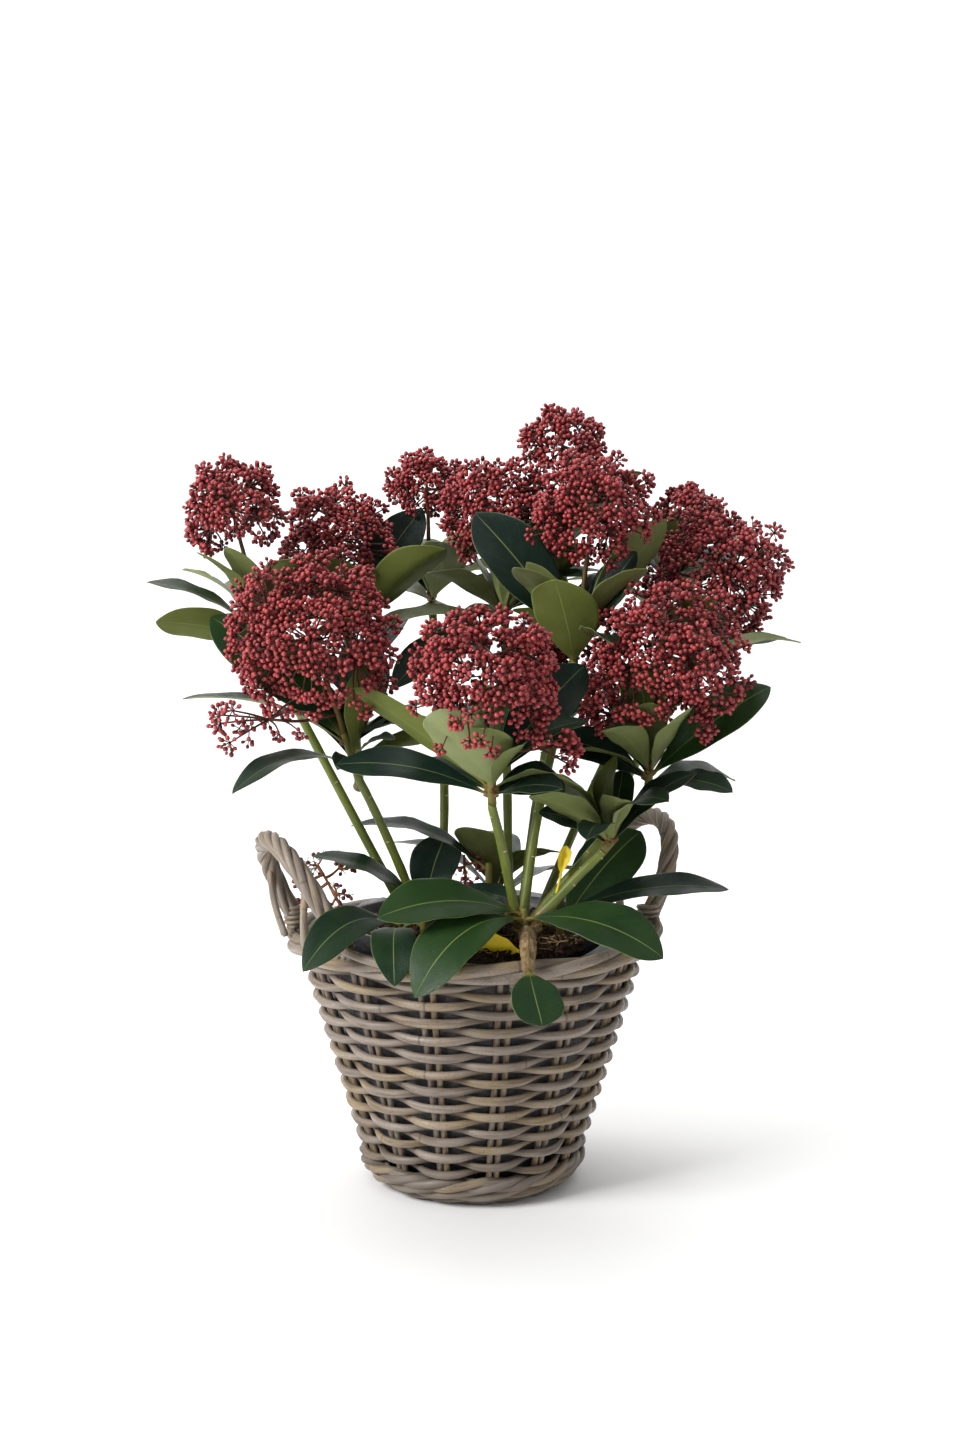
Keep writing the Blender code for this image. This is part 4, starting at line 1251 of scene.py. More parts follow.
SHOOTS = (
    Shoot("left_back", (-46, -2, 0), (-4, -10, 0), (-146, 0, 384), (-178, -10, 518), 16, 36, 7, 5, HIGH_LEFT),
    Shoot("left_front", (-36, -14, 0), (0, 0, 0), (-80, -42, 300), (-122, -85, 443), 32, 60, 9, 2, LOW_LEFT),
    Shoot("back_left", (-79.4, -33.8, 290), (0, 6, 0), (-94, 58, 388), (-103, 60, 504), 18, 45, 7, 4),
    Shoot("back_mid", (-24, 14, 0), (6, -12, 0), (-31, 96, 412), (-37, 100, 533), 18, 30, 6, 6),
    Shoot("top", (66, -24, 336), (8, 0, 0), (66, 58, 448), (68, 55, 562), 18, 31, 6, 6),
    Shoot("mid", (27, 4, 0), (0, 0, 0), (24, 28, 402), (18, 20, 520), 18, 41, 7, 5),
    Shoot("mid_right", (0, 0, 1), (-3, 0, 0), (71, -30, 370), (89, -30, 521), 32, 45, 7, 1),
    Shoot("right_top", (49, 14, 0), (0, -6, 0), (160, 84, 412), (165, 90, 507), 14, 25, 5, 6),
    Shoot("right_back", (57, 5, 0), (0, -4, 0), (156, 16, 360), (188, 15, 484), 18, 50, 8, 5),
    Shoot("right_front", (0, 0, 3), (0, 0, 0), (122, -52, 288), (133, -70, 427), 26, 58, 9, 1, LOW_RIGHT),
    Shoot("right_low", (0, 0, 2), (0, 0, 0), (90, -72, 250), None, 12, 0, 0, 0),
    Shoot("front", (0, 0, 0), (0, 0, 0), (14, -98, 286), (6, -142, 411), 26, 48, 8, 1, LOW_FRONT),
    Shoot("inner", (36, 0, 0), (0, 0, 0), (52, -2, 312), (47, 0, 401), 14, 29, 5, 3),
)

KNUCKLE = (38.0, -74.0, 200.0)
KNUCKLE_PLACES = {"front": 180.0, "mid_right": 108.0, "right_front": 36.0, "right_low": -36.0}
KNUCKLE_TWIG = 252.0
KNUCKLE_CIRCLE = 7.4
STUB_BEND = (37.5, -121.0, 192.6)
STUB_END = (37.0, -142.0, 184.0)
FALLEN_PLACE = (30.0, -90.0, 191.0)
STEM_FOOT_RADIUS = 3.6 * MM
STEM_TIP_RADIUS = 2.9 * MM
TWIG_RADIUS = 2.9 * MM
STALK_RADIUS = 2.3 * MM
BRANCH_RADIUS = 1.3 * MM
LEAF_THICKNESS = 1.3 * MM
LEAF_ROOT = 1.2 * MM
LEAF_INSET = 1.1 * MM
LEAF_STATIONS = ((0.0, 0.0), (0.28, 0.5), (0.62, 1.0), (0.88, 0.56))

LOW_TWIGS = {
    "foot": (None, 12.0, 0),
    "low_left": ((-50, -67, 0), 18.0, 1),
    "low_mid": ((-34, -30, 0), 26.0, 0),
    "low_inner": ((12, -14, 0), 46.0, 0),
    "low_right": ((62, -44, 0), 20.0, 0),
    "low_back": ((18, 36, 0), 24.0, 5),
}

LEAVES = {
    "left_back": (
        (9, -162, 27, 92, 30, -15, 8), (5, -150, 12, 84, 28, 50, 4, OLIVE),
    ),
    "left_front": (
        (27, 168, 42, 128, 46, -50, 5, FRESH), (23, -168, 17, 116, 30, 0, 12),
        (6, -141, -6, 98, 28, -10, 15, DEEP), (12, -36, 26, 40, 15, 20, 5), (9, -100, 2, 42, 15, -20, 5),
        (14, 80, 41, 84, 27, 0, 5, DEEP),
    ),
    "back_left": (
        (6, -98, 55, 70, 36, 0, 2, DEEP), (9, -28, 36, 104, 36, -35, 3, OLIVE, 0.5),
        (12, 24, 56, 108, 36, 60, 3, DEEP),
    ),
    "front": (
        (6, 174, 11, 106, 30, -35, 8, DEEP), (12, 178, 37, 112, 22, 50, 2, OLIVE),
        (9, 139, 9, 80, 30, -20, 6), (15, -128, 46, 74, 47, 8, -3, PALE), (6, -42, 10, 60, 22, 30, 4, DEEP),
        (9, 20, 4, 52, 32, 40, 4, DEEP), (18, 30, 46, 104, 38, 52, 3, DEEP, 0.5),
    ),
    "mid_right": (
        (8, -108, 50, 76, 46, 0, -3, OLIVE), (22, 176, 52, 114, 46, -62, 3, DEEP),
        (16, 12, 55, 112, 38, -55, 3, DEEP), (12, -14, 60, 84, 34, 50, 3, DEEP),
    ),
    "top": ((8, -20, 45, 66, 30, 20, 4),),
    "right_back": (
        (9, 2, 20, 74, 24, 15, 5), (6, -172, -8, 66, 24, -15, 8),
    ),
    "right_front": (
        (12, -7, 38, 102, 38, 50, 4, FRESH), (7, -42, 0, 68, 24, 25, 5, DEEP), (6, 42, -2, 92, 26, 20, 8),
        (18, 99, 62, 84, 34, 0, 4, OLIVE), (9, 174, 24, 72, 32, -40, 5, DEEP),
    ),
    "right_low": (
        (9, -46, 34, 58, 36, 15, 14, PALE, 0.1), (6, -168, 28, 54, 26, -30, 4, DEEP),
        (8, 70, 58, 56, 22, 0, 4),
    ),
    "foot": (
        (8, -158, 3, 104, 44, -28, 10, FRESH), (5, -137, -20, 104, 42, -20, 18, FRESH),
        (5, -28, -9, 102, 42, 26, 11, FRESH),
    ),
    "low_left": (
        (14, -130, -9, 92, 30, -35, 18), (10, -90, -17, 70, 30, 0, 17),
    ),
    "low_mid": (
        (18, 183, 27, 86, 28, -15, 8), (12, -24, 10, 76, 26, 15, 12, DEEP),
        (14, 70, 50, 66, 36, 10, 3, DEEP),
    ),
    "low_inner": ((41, 172, 18, 104, 26, -10, 12, DEEP),),
    "low_right": (
        (9, 30, 44, 92, 42, 50, 3, FRESH), (18, -3, 10, 118, 30, 22, 8, DEEP),
    ),
}

INNER_LEAVES = {
    "mid": (
        (6, 184, -6, 104, 40, 12, 8, DEEP), (4, 208, -28, 102, 38, -20, 8, DEEP),
        (8, -128, -10, 92, 34, 25, 8, PLAIN),
    ),
    "back_mid": (
        (6, -122, -30, 98, 38, 15, 8, DEEP), (8, -62, -26, 92, 36, -15, 8, DEEP),
    ),
    "back_left": ((5, -64, -24, 96, 36, 20, 8, DEEP),),
    "right_back": ((6, -132, -26, 92, 34, -20, 8, DEEP),),
    "left_back": ((6, -34, -22, 96, 36, 10, 8, DEEP),),
}

DRIED = {
    "left": ((-84, -22, 0), (-112, -26, 238), 24, 5),
    "mid": ((-4, -2, 0), (-6, -4, 242), 17, 5),
}

Shell = tuple[list[Vector], list[tuple[int, ...]]]


def rod_shell(start: Vector, end: Vector, low: float, high: float, sides: int) -> Shell:
    """A straight tapering rod.

    Args:
        start: Its foot.
        end: Its top.
        low: Its radius at the foot.
        high: Its radius at the top.
        sides: How many sides it has.

    Returns:
        Its points and faces.
    """
    turn = (end - start).to_track_quat("Z", "Y").to_matrix()
    points = []
    for place, radius in ((start, low), (end, high)):
        for k in range(sides):
            angle = ROUND * k / sides
            points.append(place + turn @ Vector((radius * sin(angle), radius * cos(angle), 0.0)))
    faces = [tuple(range(sides)), tuple(range(sides, 2 * sides))]
    for k in range(sides):
        n = (k + 1) % sides
        faces.append((k, n, n + sides, k + sides))
    return points, faces


def line_shell(line: Sequence[Vector], radius: float) -> Shell:
    """A six-sided tube along a line."""
    points, faces = [], []
    for start, end in zip(line, line[1:]):
        more, sides = rod_shell(start, end, radius, radius, 6)
        faces += [tuple(number + len(points) for number in side) for side in sides]
        points += more
    return points, faces


def leaf_shell(root: Vector, leaf: Leaf, extra: float) -> Shell:
    """A plain leaf, with room round it.

    Args:
        root: Where the leaf grows.
        leaf: The leaf.
        extra: How far the shell stands off it.

    Returns:
        Its points and faces.
    """
    length = leaf.length * MM + extra
    half = 0.5 * leaf.width * MM
    ahead, level = aim(leaf.heading, leaf.lift), aim(leaf.heading + 90.0, 0.0)
    up = ahead.cross(level)
    turn = spun(leaf.roll, ahead)
    across, face = turn @ level, turn @ up
    points: list[Vector] = []
    for share, width in LEAF_STATIONS:
        wide = LEAF_ROOT + (half - LEAF_ROOT) * width + extra
        middle = root + ahead * (length * share) + up * (4.0 * leaf.arch * MM * share * (1.0 - share))
        rise = face * (leaf.fold * wide * width)
        thick = face * (0.5 * LEAF_THICKNESS + extra)
        edge = across * wide
        points += [middle + edge + rise, middle + thick, middle - edge + rise, middle - thick]
    points.append(root + ahead * length)
    faces: list[tuple[int, ...]] = [(0, 1, 2, 3)]
    for ring in range(3):
        for k in range(4):
            n = (k + 1) % 4
            faces.append((4 * ring + k, 4 * ring + n, 4 * ring + 4 + n, 4 * ring + 4 + k))
    faces += [(12 + k, 12 + (k + 1) % 4, 16) for k in range(4)]
    return points, faces


def spray_shell(branch: Branch, bead: float, extra: float) -> Shell:
    """A side branch that forks into four clusters of buds.

    Args:
        branch: The side branch.
        bead: The size of a cluster.
        extra: How far the shell stands off it.

    Returns:
        Its points and faces.
    """
    ahead = branch.ahead
    radius = BRANCH_RADIUS + extra
    centres = (
        branch.joint - ahead * extra,
        branch.fork - ahead * BRANCH_RADIUS,
        branch.fork + ahead * BRANCH_RADIUS,
    )
    corners = [spun(120.0 * k - 60.0, ahead) @ branch.side * radius for k in range(3)]
    points = [centre + corner for centre in centres for corner in corners]
    faces: list[tuple[int, ...]] = [(0, 1, 2)]
    faces += [(k, (k + 1) % 3, 3 + (k + 1) % 3, 3 + k) for k in range(3)]
    roots: list[tuple[int, ...]] = [(6, 7, 8)]
    roots += [(3 + k, 3 + (k + 1) % 3, 6 + (k + 1) % 3, 6 + k) for k in range(3)]
    for root, place in zip(roots, branch.places):
        middle = sum((points[k] for k in root), Vector()) / len(root)
        along = (place - middle).normalized()
        first = len(points)
        for k in root:
            offset = points[k] - middle
            offset = (offset - along * offset.dot(along)).normalized()
            points.append(place + offset * (bead + extra))
        points.append(place + along * (bead + extra) * 0.7)
        for k in range(len(root)):
            n = (k + 1) % len(root)
            faces.append((root[k], root[n], first + n, first + k))
            faces.append((first + k, first + n, first + len(root)))
    return points, faces


class Room:
    """What already stands, so that new pieces keep clear of other nodes."""

    def __init__(self) -> None:
        """Start with nothing standing."""
        self.taken: list[tuple[str, Vector, Vector, BVHTree]] = []

    @staticmethod
    def outline(shell: Shell) -> tuple[Vector, Vector, BVHTree]:
        """The low corner, the high corner and the search tree of a shell."""
        points, faces = shell
        low = Vector([min(point[k] for point in points) for k in range(3)])
        high = Vector([max(point[k] for point in points) for k in range(3)])
        return low, high, BVHTree.FromPolygons(points, faces)

    def claim(self, owner: str, shell: Shell) -> None:
        """Remember a shell as part of a node."""
        self.taken.append((owner, *self.outline(shell)))

    def is_free(self, owner: str, shell: Shell) -> bool:
        """Whether a shell of this node meets no other node."""
        low, high, tree = self.outline(shell)
        for other, other_low, other_high, other_tree in self.taken:
            if other == owner:
                continue
            if any(low[k] > other_high[k] or high[k] < other_low[k] for k in range(3)):
                continue
            if tree.overlap(other_tree):
                return False
        return True


def on_knuckle(heading: float) -> Triple:
    """The point on top of the knuckle at this heading, in millimetres of the layout."""
    turn = radians(heading)
    x = KNUCKLE[0] + KNUCKLE_CIRCLE * cos(turn)
    return (x, KNUCKLE[1] + KNUCKLE_CIRCLE * sin(turn), KNUCKLE[2] + GAP / MM)


@dataclass
class Layout:
    """Where every limb, leaf and cluster stands, by the same rule as the solids."""

    bed: PeatBed = field(default_factory=PeatBed)
    room: Room = field(default_factory=Room)
    stems: dict[str, list[Vector]] = field(default_factory=dict)
    twigs: dict[str, tuple[Vector, Vector, float]] = field(default_factory=dict)
    stalks: dict[str, tuple[Vector, Vector]] = field(default_factory=dict)
    leaves: dict[str, list[tuple[Vector, Leaf]]] = field(default_factory=dict)
    branches: dict[str, list[tuple[Branch, float]]] = field(default_factory=dict)

    def stem_foot(self, shoot: Shoot) -> Triple:
        """Where a stem starts: on the knuckle, on the peat, or beside another stem."""
        x, y, z = shoot.foot
        if shoot.name in KNUCKLE_PLACES:
            return on_knuckle(KNUCKLE_PLACES[shoot.name])
        if z == 0:
            return (x, y, self.bed.height(x, y) + 2.0 * GAP / MM)
        return (x, y, z)

    def ahead(self, shoot: Shoot) -> Vector:
        """The direction that a shoot grows in at its whorl."""
        start = spot(shoot.whorl)
        if shoot.crown:
            return (spot(shoot.crown) - start).normalized()
        return (start - spot(self.stem_foot(shoot))).normalized()

    def stem_path(self, shoot: Shoot) -> list[Vector]:
        """The points of a stem: upright for a little, then out to its whorl."""
        foot, whorl, bow = Vector(self.stem_foot(shoot)), Vector(shoot.whorl), Vector(shoot.bow)
        points = [spot(foot), spot(foot + Vector((0.0, 0.0, 4.0)))]
        for share in (0.35, 0.7):
            point = foot.lerp(whorl, share)
            level = share**1.15
            point.x = foot.x + (whorl.x - foot.x) * level
            point.y = foot.y + (whorl.y - foot.y) * level
            points.append(spot(point + bow * 4.0 * share * (1.0 - share)))
        return [*points, spot(whorl) - self.ahead(shoot) * 4.0 * MM, spot(whorl)]

    def limbs(self) -> None:
        """Lay out the stems, the twigs and the stalks."""
        claim = self.room.claim
        for name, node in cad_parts.items():
            if name.startswith(("basket", "handle", "nursery", "soil", "trunk")):
                faces = [tuple(face.vertices) for face in node.data.polygons]
                claim(name, ([vertex.co.copy() for vertex in node.data.vertices], faces))
        for shoot in SHOOTS:
            self.stems[shoot.name] = self.stem_path(shoot)
            claim("stem_" + shoot.name, line_shell(self.stems[shoot.name], STEM_FOOT_RADIUS))
            ahead = self.ahead(shoot)
            start = spot(shoot.whorl) + ahead * GAP
            end = start + ahead * shoot.twig * MM
            self.twigs[shoot.name] = (start, ahead, shoot.twig * MM)
            claim(shoot.leaves, rod_shell(start, end, TWIG_RADIUS, STALK_RADIUS, 4))
            if shoot.crown:
                base, top = end + ahead * GAP, spot(shoot.crown)
                self.stalks[shoot.flowers] = (base, top)
                shell = rod_shell(base, base.lerp(top, 0.8), STALK_RADIUS, BRANCH_RADIUS, 4)
                claim(shoot.flowers, shell)
        for name, (foot, height, _) in LOW_TWIGS.items():
            x, y, z = on_knuckle(KNUCKLE_TWIG)
            if foot:
                x, y, _ = foot
                z = self.bed.height(x, y) + 2.0 * GAP / MM
            start, ahead = spot((x, y, z)), Vector((0.0, 0.0, 1.0))
            self.twigs[name] = (start, ahead, height * MM)
            shell = rod_shell(start, start + ahead * height * MM, TWIG_RADIUS, TWIG_RADIUS * 0.7, 4)
            claim("leaves_" + name, shell)
        for name, (foot, top, _, _) in DRIED.items():
            x, y, _ = foot
            start, end = spot((x, y, self.bed.height(x, y) + 1.5)), spot(top)
            self.stalks["dried_flowers_" + name] = (start, end)
            shell = rod_shell(start, start.lerp(end, 0.85), 1.6 * MM, BRANCH_RADIUS, 4)
            claim("dried_flowers_" + name, shell)

    def set_leaf(self, name: str, leaf: Leaf, swings: Pairs) -> Leaf | None:
        """Try a leaf at each swing in turn.

        Args:
            name: Its twig.
            leaf: The leaf.
            swings: The turn and lift of each try, in degrees.

        Returns:
            The leaf as held, or None where there is no room.
        """
        start, ahead, _ = self.twigs[name]
        node = "leaves_" + name
        for heading, lift in swings:
            held = replace(leaf, heading=leaf.heading + heading, lift=leaf.lift + lift)
            root = start + ahead * leaf.rise * MM + aim(held.heading, 0.0) * LEAF_INSET
            if self.room.is_free(node, leaf_shell(root, held, CLEAR)):
                self.room.claim(node, leaf_shell(root, held, 0.0))
                self.leaves.setdefault(node, []).append((root, held))
                return held
        return None

    def shown_leaves(self) -> None:
        """The leaves of the show side, each moved a little where it meets something."""
        swings = [(0, 0), (4, 2), (-4, 2), (0, 4), (7, 0), (-7, 0), (0, 8), (0, -6), (10, 6), (-10, 6)]
        swings += [(15, 0), (-15, 0), (0, 14), (20, 8), (-20, 8)]
        for name, rows in LEAVES.items():
            for leaf in (Leaf(*row) for row in rows):
                if not self.set_leaf(name, leaf, swings):
                    smaller = replace(leaf, length=0.8 * leaf.length, width=0.8 * leaf.width)
                    self.set_leaf(name, smaller, swings)
        start = spot(STUB_END) + aim(-88, -20) * (GAP + 0.5 * MM)
        self.twigs["rim"] = (start, aim(-88, -30), 4.0 * MM)
        hung = Leaf(2.0, -72, -48, 38, 34, 0, 4, FRESH, 0.1)
        self.set_leaf("rim", hung, [(0, 0), (0, 8), (0, 16)])

    def filler_leaves(self) -> None:
        """The leaves that fill each whorl between the shown ones."""
        counts = {shoot.name: (shoot.filler, shoot.twig) for shoot in SHOOTS}
        counts.update({name: (filler, height) for name, (_, height, filler) in LOW_TWIGS.items()})
        swings = [(0, 0), (12, 6), (-12, 6), (20, -6), (-20, -6), (0, 18), (30, 8), (-30, 8), (0, 30)]
        for index, (name, (count, height)) in enumerate(counts.items()):
            chance = Random(100 + index)
            shown = [row[1] for row in LEAVES.get(name, ())]
            heading = chance.uniform(0.0, 360.0)
            placed = 0
            for _ in range(3 * count + 12):
                heading += GOLDEN_ANGLE
                rise = chance.uniform(0.35, 0.8) * height
                lift = chance.uniform(8.0, 46.0)
                length = chance.uniform(70.0, 96.0)
                width = length * chance.uniform(0.32, 0.4)
                roll = chance.uniform(-20.0, 20.0)
                arch = chance.uniform(4.0, 11.0)
                near = any(apart(heading, other) < 34.0 for other in shown)
                if placed == count or near:
                    continue
                look = (PLAIN, DEEP, FRESH)[index % 3]
                leaf = Leaf(rise, heading, lift, length, width, roll, arch, look)
                held = self.set_leaf(name, leaf, swings)
                if held:
                    shown.append(held.heading)
                    placed += 1

    def inner_leaves(self) -> None:
        """The leaves inside each whorl that the solids leave out."""
        swings = [(0, 0), (8, -6), (-8, -6), (0, 12), (16, 0), (-16, 0), (0, -16), (24, 10), (-24, 10)]
        for name, rows in INNER_LEAVES.items():
            for leaf in (Leaf(*row) for row in rows):
                self.set_leaf(name, leaf, swings)
        for index, shoot in enumerate(SHOOTS):
            chance = Random(700 + index)
            taken = [leaf.heading for _, leaf in self.leaves.get(shoot.leaves, ())]
            placed = 0
            for _ in range(70):
                heading = chance.uniform(0.0, 360.0)
                near = any(apart(heading, other) < 17.0 for other in taken)
                if placed == 7 or near:
                    continue
                length = chance.uniform(58.0, 88.0)
                rise, lift = chance.uniform(0.3, 0.9) * shoot.twig, chance.uniform(5.0, 66.0)
                roll, arch = chance.uniform(-28.0, 28.0), chance.uniform(3.0, 10.0)
                look = chance.choice((DEEP, DEEP, PLAIN, OLIVE))
                leaf = Leaf(rise, heading, lift, length, 0.37 * length, roll, arch, look)
                held = self.set_leaf(shoot.name, leaf, [(0, 0), (7, 12), (-7, -12), (0, 24)])
                if held:
                    taken.append(held.heading)
                    placed += 1

    def head(self, node: str, seed: int, spread: float, sides: int, lobes: Sequence[Triple]) -> None:
        """Lay out the side branches of one flower head.

        Args:
            node: Its node.
            seed: Its seed.
            spread: Its half width in millimetres.
            sides: How many branches it has.
            lobes: The heading, lift and length of each low lobe.
        """
        start, crown = self.stalks[node]
        chance = Random(seed)
        along = crown - start
        ahead = along.normalized()
        side = ahead.orthogonal().normalized()
        reach = spread * MM
        depth = min(0.92 * reach, 0.8 * along.length)
        centre = crown - ahead * depth
        aims = []
        for k in range(sides):
            level = 1.0 - (k + 0.35) / sides * 1.55
            ring = level_ring(level)
            turn = radians(GOLDEN_ANGLE * k + 360.0 * chance.random() / sides)
            outward = Matrix.Rotation(turn, 3, ahead) @ side
            target = centre + outward * (ring * reach) + ahead * (level * depth)
            low = max(0.12 * along.length, along.length - depth * (1.0 - level) * 0.55 - 0.35 * depth)
            low = min(low, 0.78 * along.length)
            aims.append((start + ahead * low, target, reach, chance.random()))
        for heading, lift, length in lobes:
            joint = start + ahead * (0.10 + 0.05 * chance.random()) * along.length
            aims.append((joint, joint + aim(heading, lift) * length * MM, 0.6 * reach, chance.random()))
        size = (3.0 + 0.07 * spread) * MM
        self.branches[node] = []
        for joint, target, reach, first in aims:
            for share in (1.0, 0.84, 0.68):
                branch = self.branch(joint, joint.lerp(target, share), reach * share, first)
                if self.room.is_free(node, spray_shell(branch, size, CLEAR)):
                    self.room.claim(node, spray_shell(branch, size, 0.0))
                    self.branches[node].append((branch, size))
                    break

    @staticmethod
    def branch(joint: Vector, target: Vector, reach: float, first: float) -> Branch:
        """One side branch, forked short of its target.

        Args:
            joint: Where it starts.
            target: Where its clusters gather.
            reach: How wide they spread.
            first: The turn of the first, from 0 to 1.

        Returns:
            The branch.
        """
        ahead = (target - joint).normalized()
        side = Matrix.Rotation(ROUND * first, 3, ahead) @ ahead.orthogonal().normalized()
        places = [target + ahead * 0.04 * reach]
        for k in range(3):
            turn = spun(120.0 * k, ahead)
            places.append(target + (turn @ side) * 0.42 * reach - ahead * (0.10 * reach))
        return Branch(joint, joint.lerp(target, 0.58), ahead, side, tuple(places))

    def build(self) -> None:
        """Lay out the plant in the order of its solids."""
        self.limbs()
        self.shown_leaves()
        for index, shoot in enumerate(SHOOTS):
            if shoot.crown:
                self.head(shoot.flowers, 200 + index, shoot.spread, shoot.sides, shoot.lobes)
        for index, (name, (_, _, spread, sides)) in enumerate(DRIED.items()):
            self.head("dried_flowers_" + name, 300 + index, spread, sides, ())
        self.filler_leaves()
        self.inner_leaves()


# Plant


@dataclass
class WoodyFoot:
    """The old wood: a short trunk, its knuckle and the dead stub."""

    bed: PeatBed = field(default_factory=PeatBed)

    def build(self) -> None:
        """Make the lumpy wood as one skin."""
        shape = Shape()
        x, y, z = KNUCKLE
        foot = spot((x - 2.0, y + 4.0, self.bed.height(x, y) - 3.0))
        top = spot((x, y, z + 0.5))
        self.limb(shape, [foot, foot.lerp(top, 0.5), top], [7.4, 7.2, 10.6], 1.0)
        self.limb(shape, [spot((x, y, z + rise)) for rise in (-7.5, -3.5, 0.6)], [8.0, 11.0, 9.0], 2.0)
        shoulder, bend = spot((x, y, z - 4.0)), spot(STUB_BEND)
        stub = [shoulder, shoulder.lerp(bend, 0.5), bend, spot(STUB_END)]
        self.limb(shape, stub, [6.6, 6.0, 5.6, 3.8], 3.0)
        shape.piece("woody_foot", BARK, ["trunk"])

    @staticmethod
    def limb(shape: Shape, points: Sequence[Vector], radii: Sequence[float], seed: float) -> None:
        """Add a limb with furrows and lumps.

        Args:
            shape: What to add it to.
            points: The points that it follows.
            radii: Its radius at each, in millimetres.
            seed: The seed of its lumps.
        """
        line = smooth_line(points, 14)
        frames = carried_frames(np.array(line))
        sides = 30
        rings, runs = [], [0.0]
        for k, place in enumerate(line):
            share = k / (len(line) - 1) * (len(radii) - 1)
            low = min(int(share), len(radii) - 2)
            radius = radii[low] + (radii[low + 1] - radii[low]) * (share - low)
            ring = []
            for side in range(sides):
                turn = ROUND * side / sides
                out = Vector(frames[k][0]) * cos(turn) + Vector(frames[k][1]) * sin(turn)
                lump = noise.fractal((place + out * 0.006) * 260.0 + Vector((seed * 5.0, 0, 0)), 0.9, 2.0, 4)
                furrow = -0.5 * abs(sin(4.0 * turn + 2.0 * noise.noise(place * 150.0)))
                ring.append(place + out * (radius + 0.9 * lump + furrow) * MM)
            rings.append(ring)
            runs.append(runs[-1] + (line[min(k + 1, len(line) - 1)] - place).length)
        run = np.array(runs[:-1])[:, None]
        shape.loft(np.array(rings), run=run, side=np.linspace(-1.0, 1.0, sides), tone=seed * 0.2)


@dataclass
class Stems:
    """The green stems, with their leaf scars and slight swellings."""

    layout: Layout
    scar_step: float = 11.0 * MM

    def build(self) -> None:
        """Make each stem as a piece of its own."""
        scar = Form(((0.5, -1.0), (1.0, -0.4), (1.0, 0.4), (0.5, 1.0)), 8)
        for index, (name, path) in enumerate(self.layout.stems.items()):
            chance = Random(500 + index)
            shape = Shape()
            line = smooth_line(path, 8)
            last = len(line) - 1
            radii, warm = [], []
            for k in range(last + 1):
                taper = STEM_FOOT_RADIUS + (STEM_TIP_RADIUS - STEM_FOOT_RADIUS) * k / last
                radii.append(taper * (1.0 + wander(index, k * 0.5, 0.10)) + (0.9 * MM if k < 2 else 0.0))
                warm.append(max(0.0, (k / last - 0.93) / 0.07) * 0.5)
            shape.tube(line, radii, 14, tone=chance.random(), warm=np.array(warm))
            places, reached, turn = [], 0.0, chance.uniform(0.0, 6.28)
            for k in range(1, last):
                reached += (line[k] - line[k - 1]).length
                if reached < self.scar_step:
                    continue
                reached = chance.uniform(-0.4, 0.2) * self.scar_step
                turn += radians(GOLDEN_ANGLE)
                ahead = (line[k + 1] - line[k - 1]).normalized()
                out = Matrix.Rotation(turn, 3, ahead) @ ahead.orthogonal().normalized()
                across = ahead.cross(out)
                basis = Matrix((across * 1.5 * MM, ahead * 0.55 * MM, out * 0.45 * MM)).transposed().to_4x4()
                places.append(Matrix.Translation(line[k] + out * (radii[k] - 0.1 * MM)) @ basis)
            shape.copies(scar, places, under=[0.9] * len(places))
            shape.piece("stem_" + name + "_bark", STEM, ["stem_" + name])


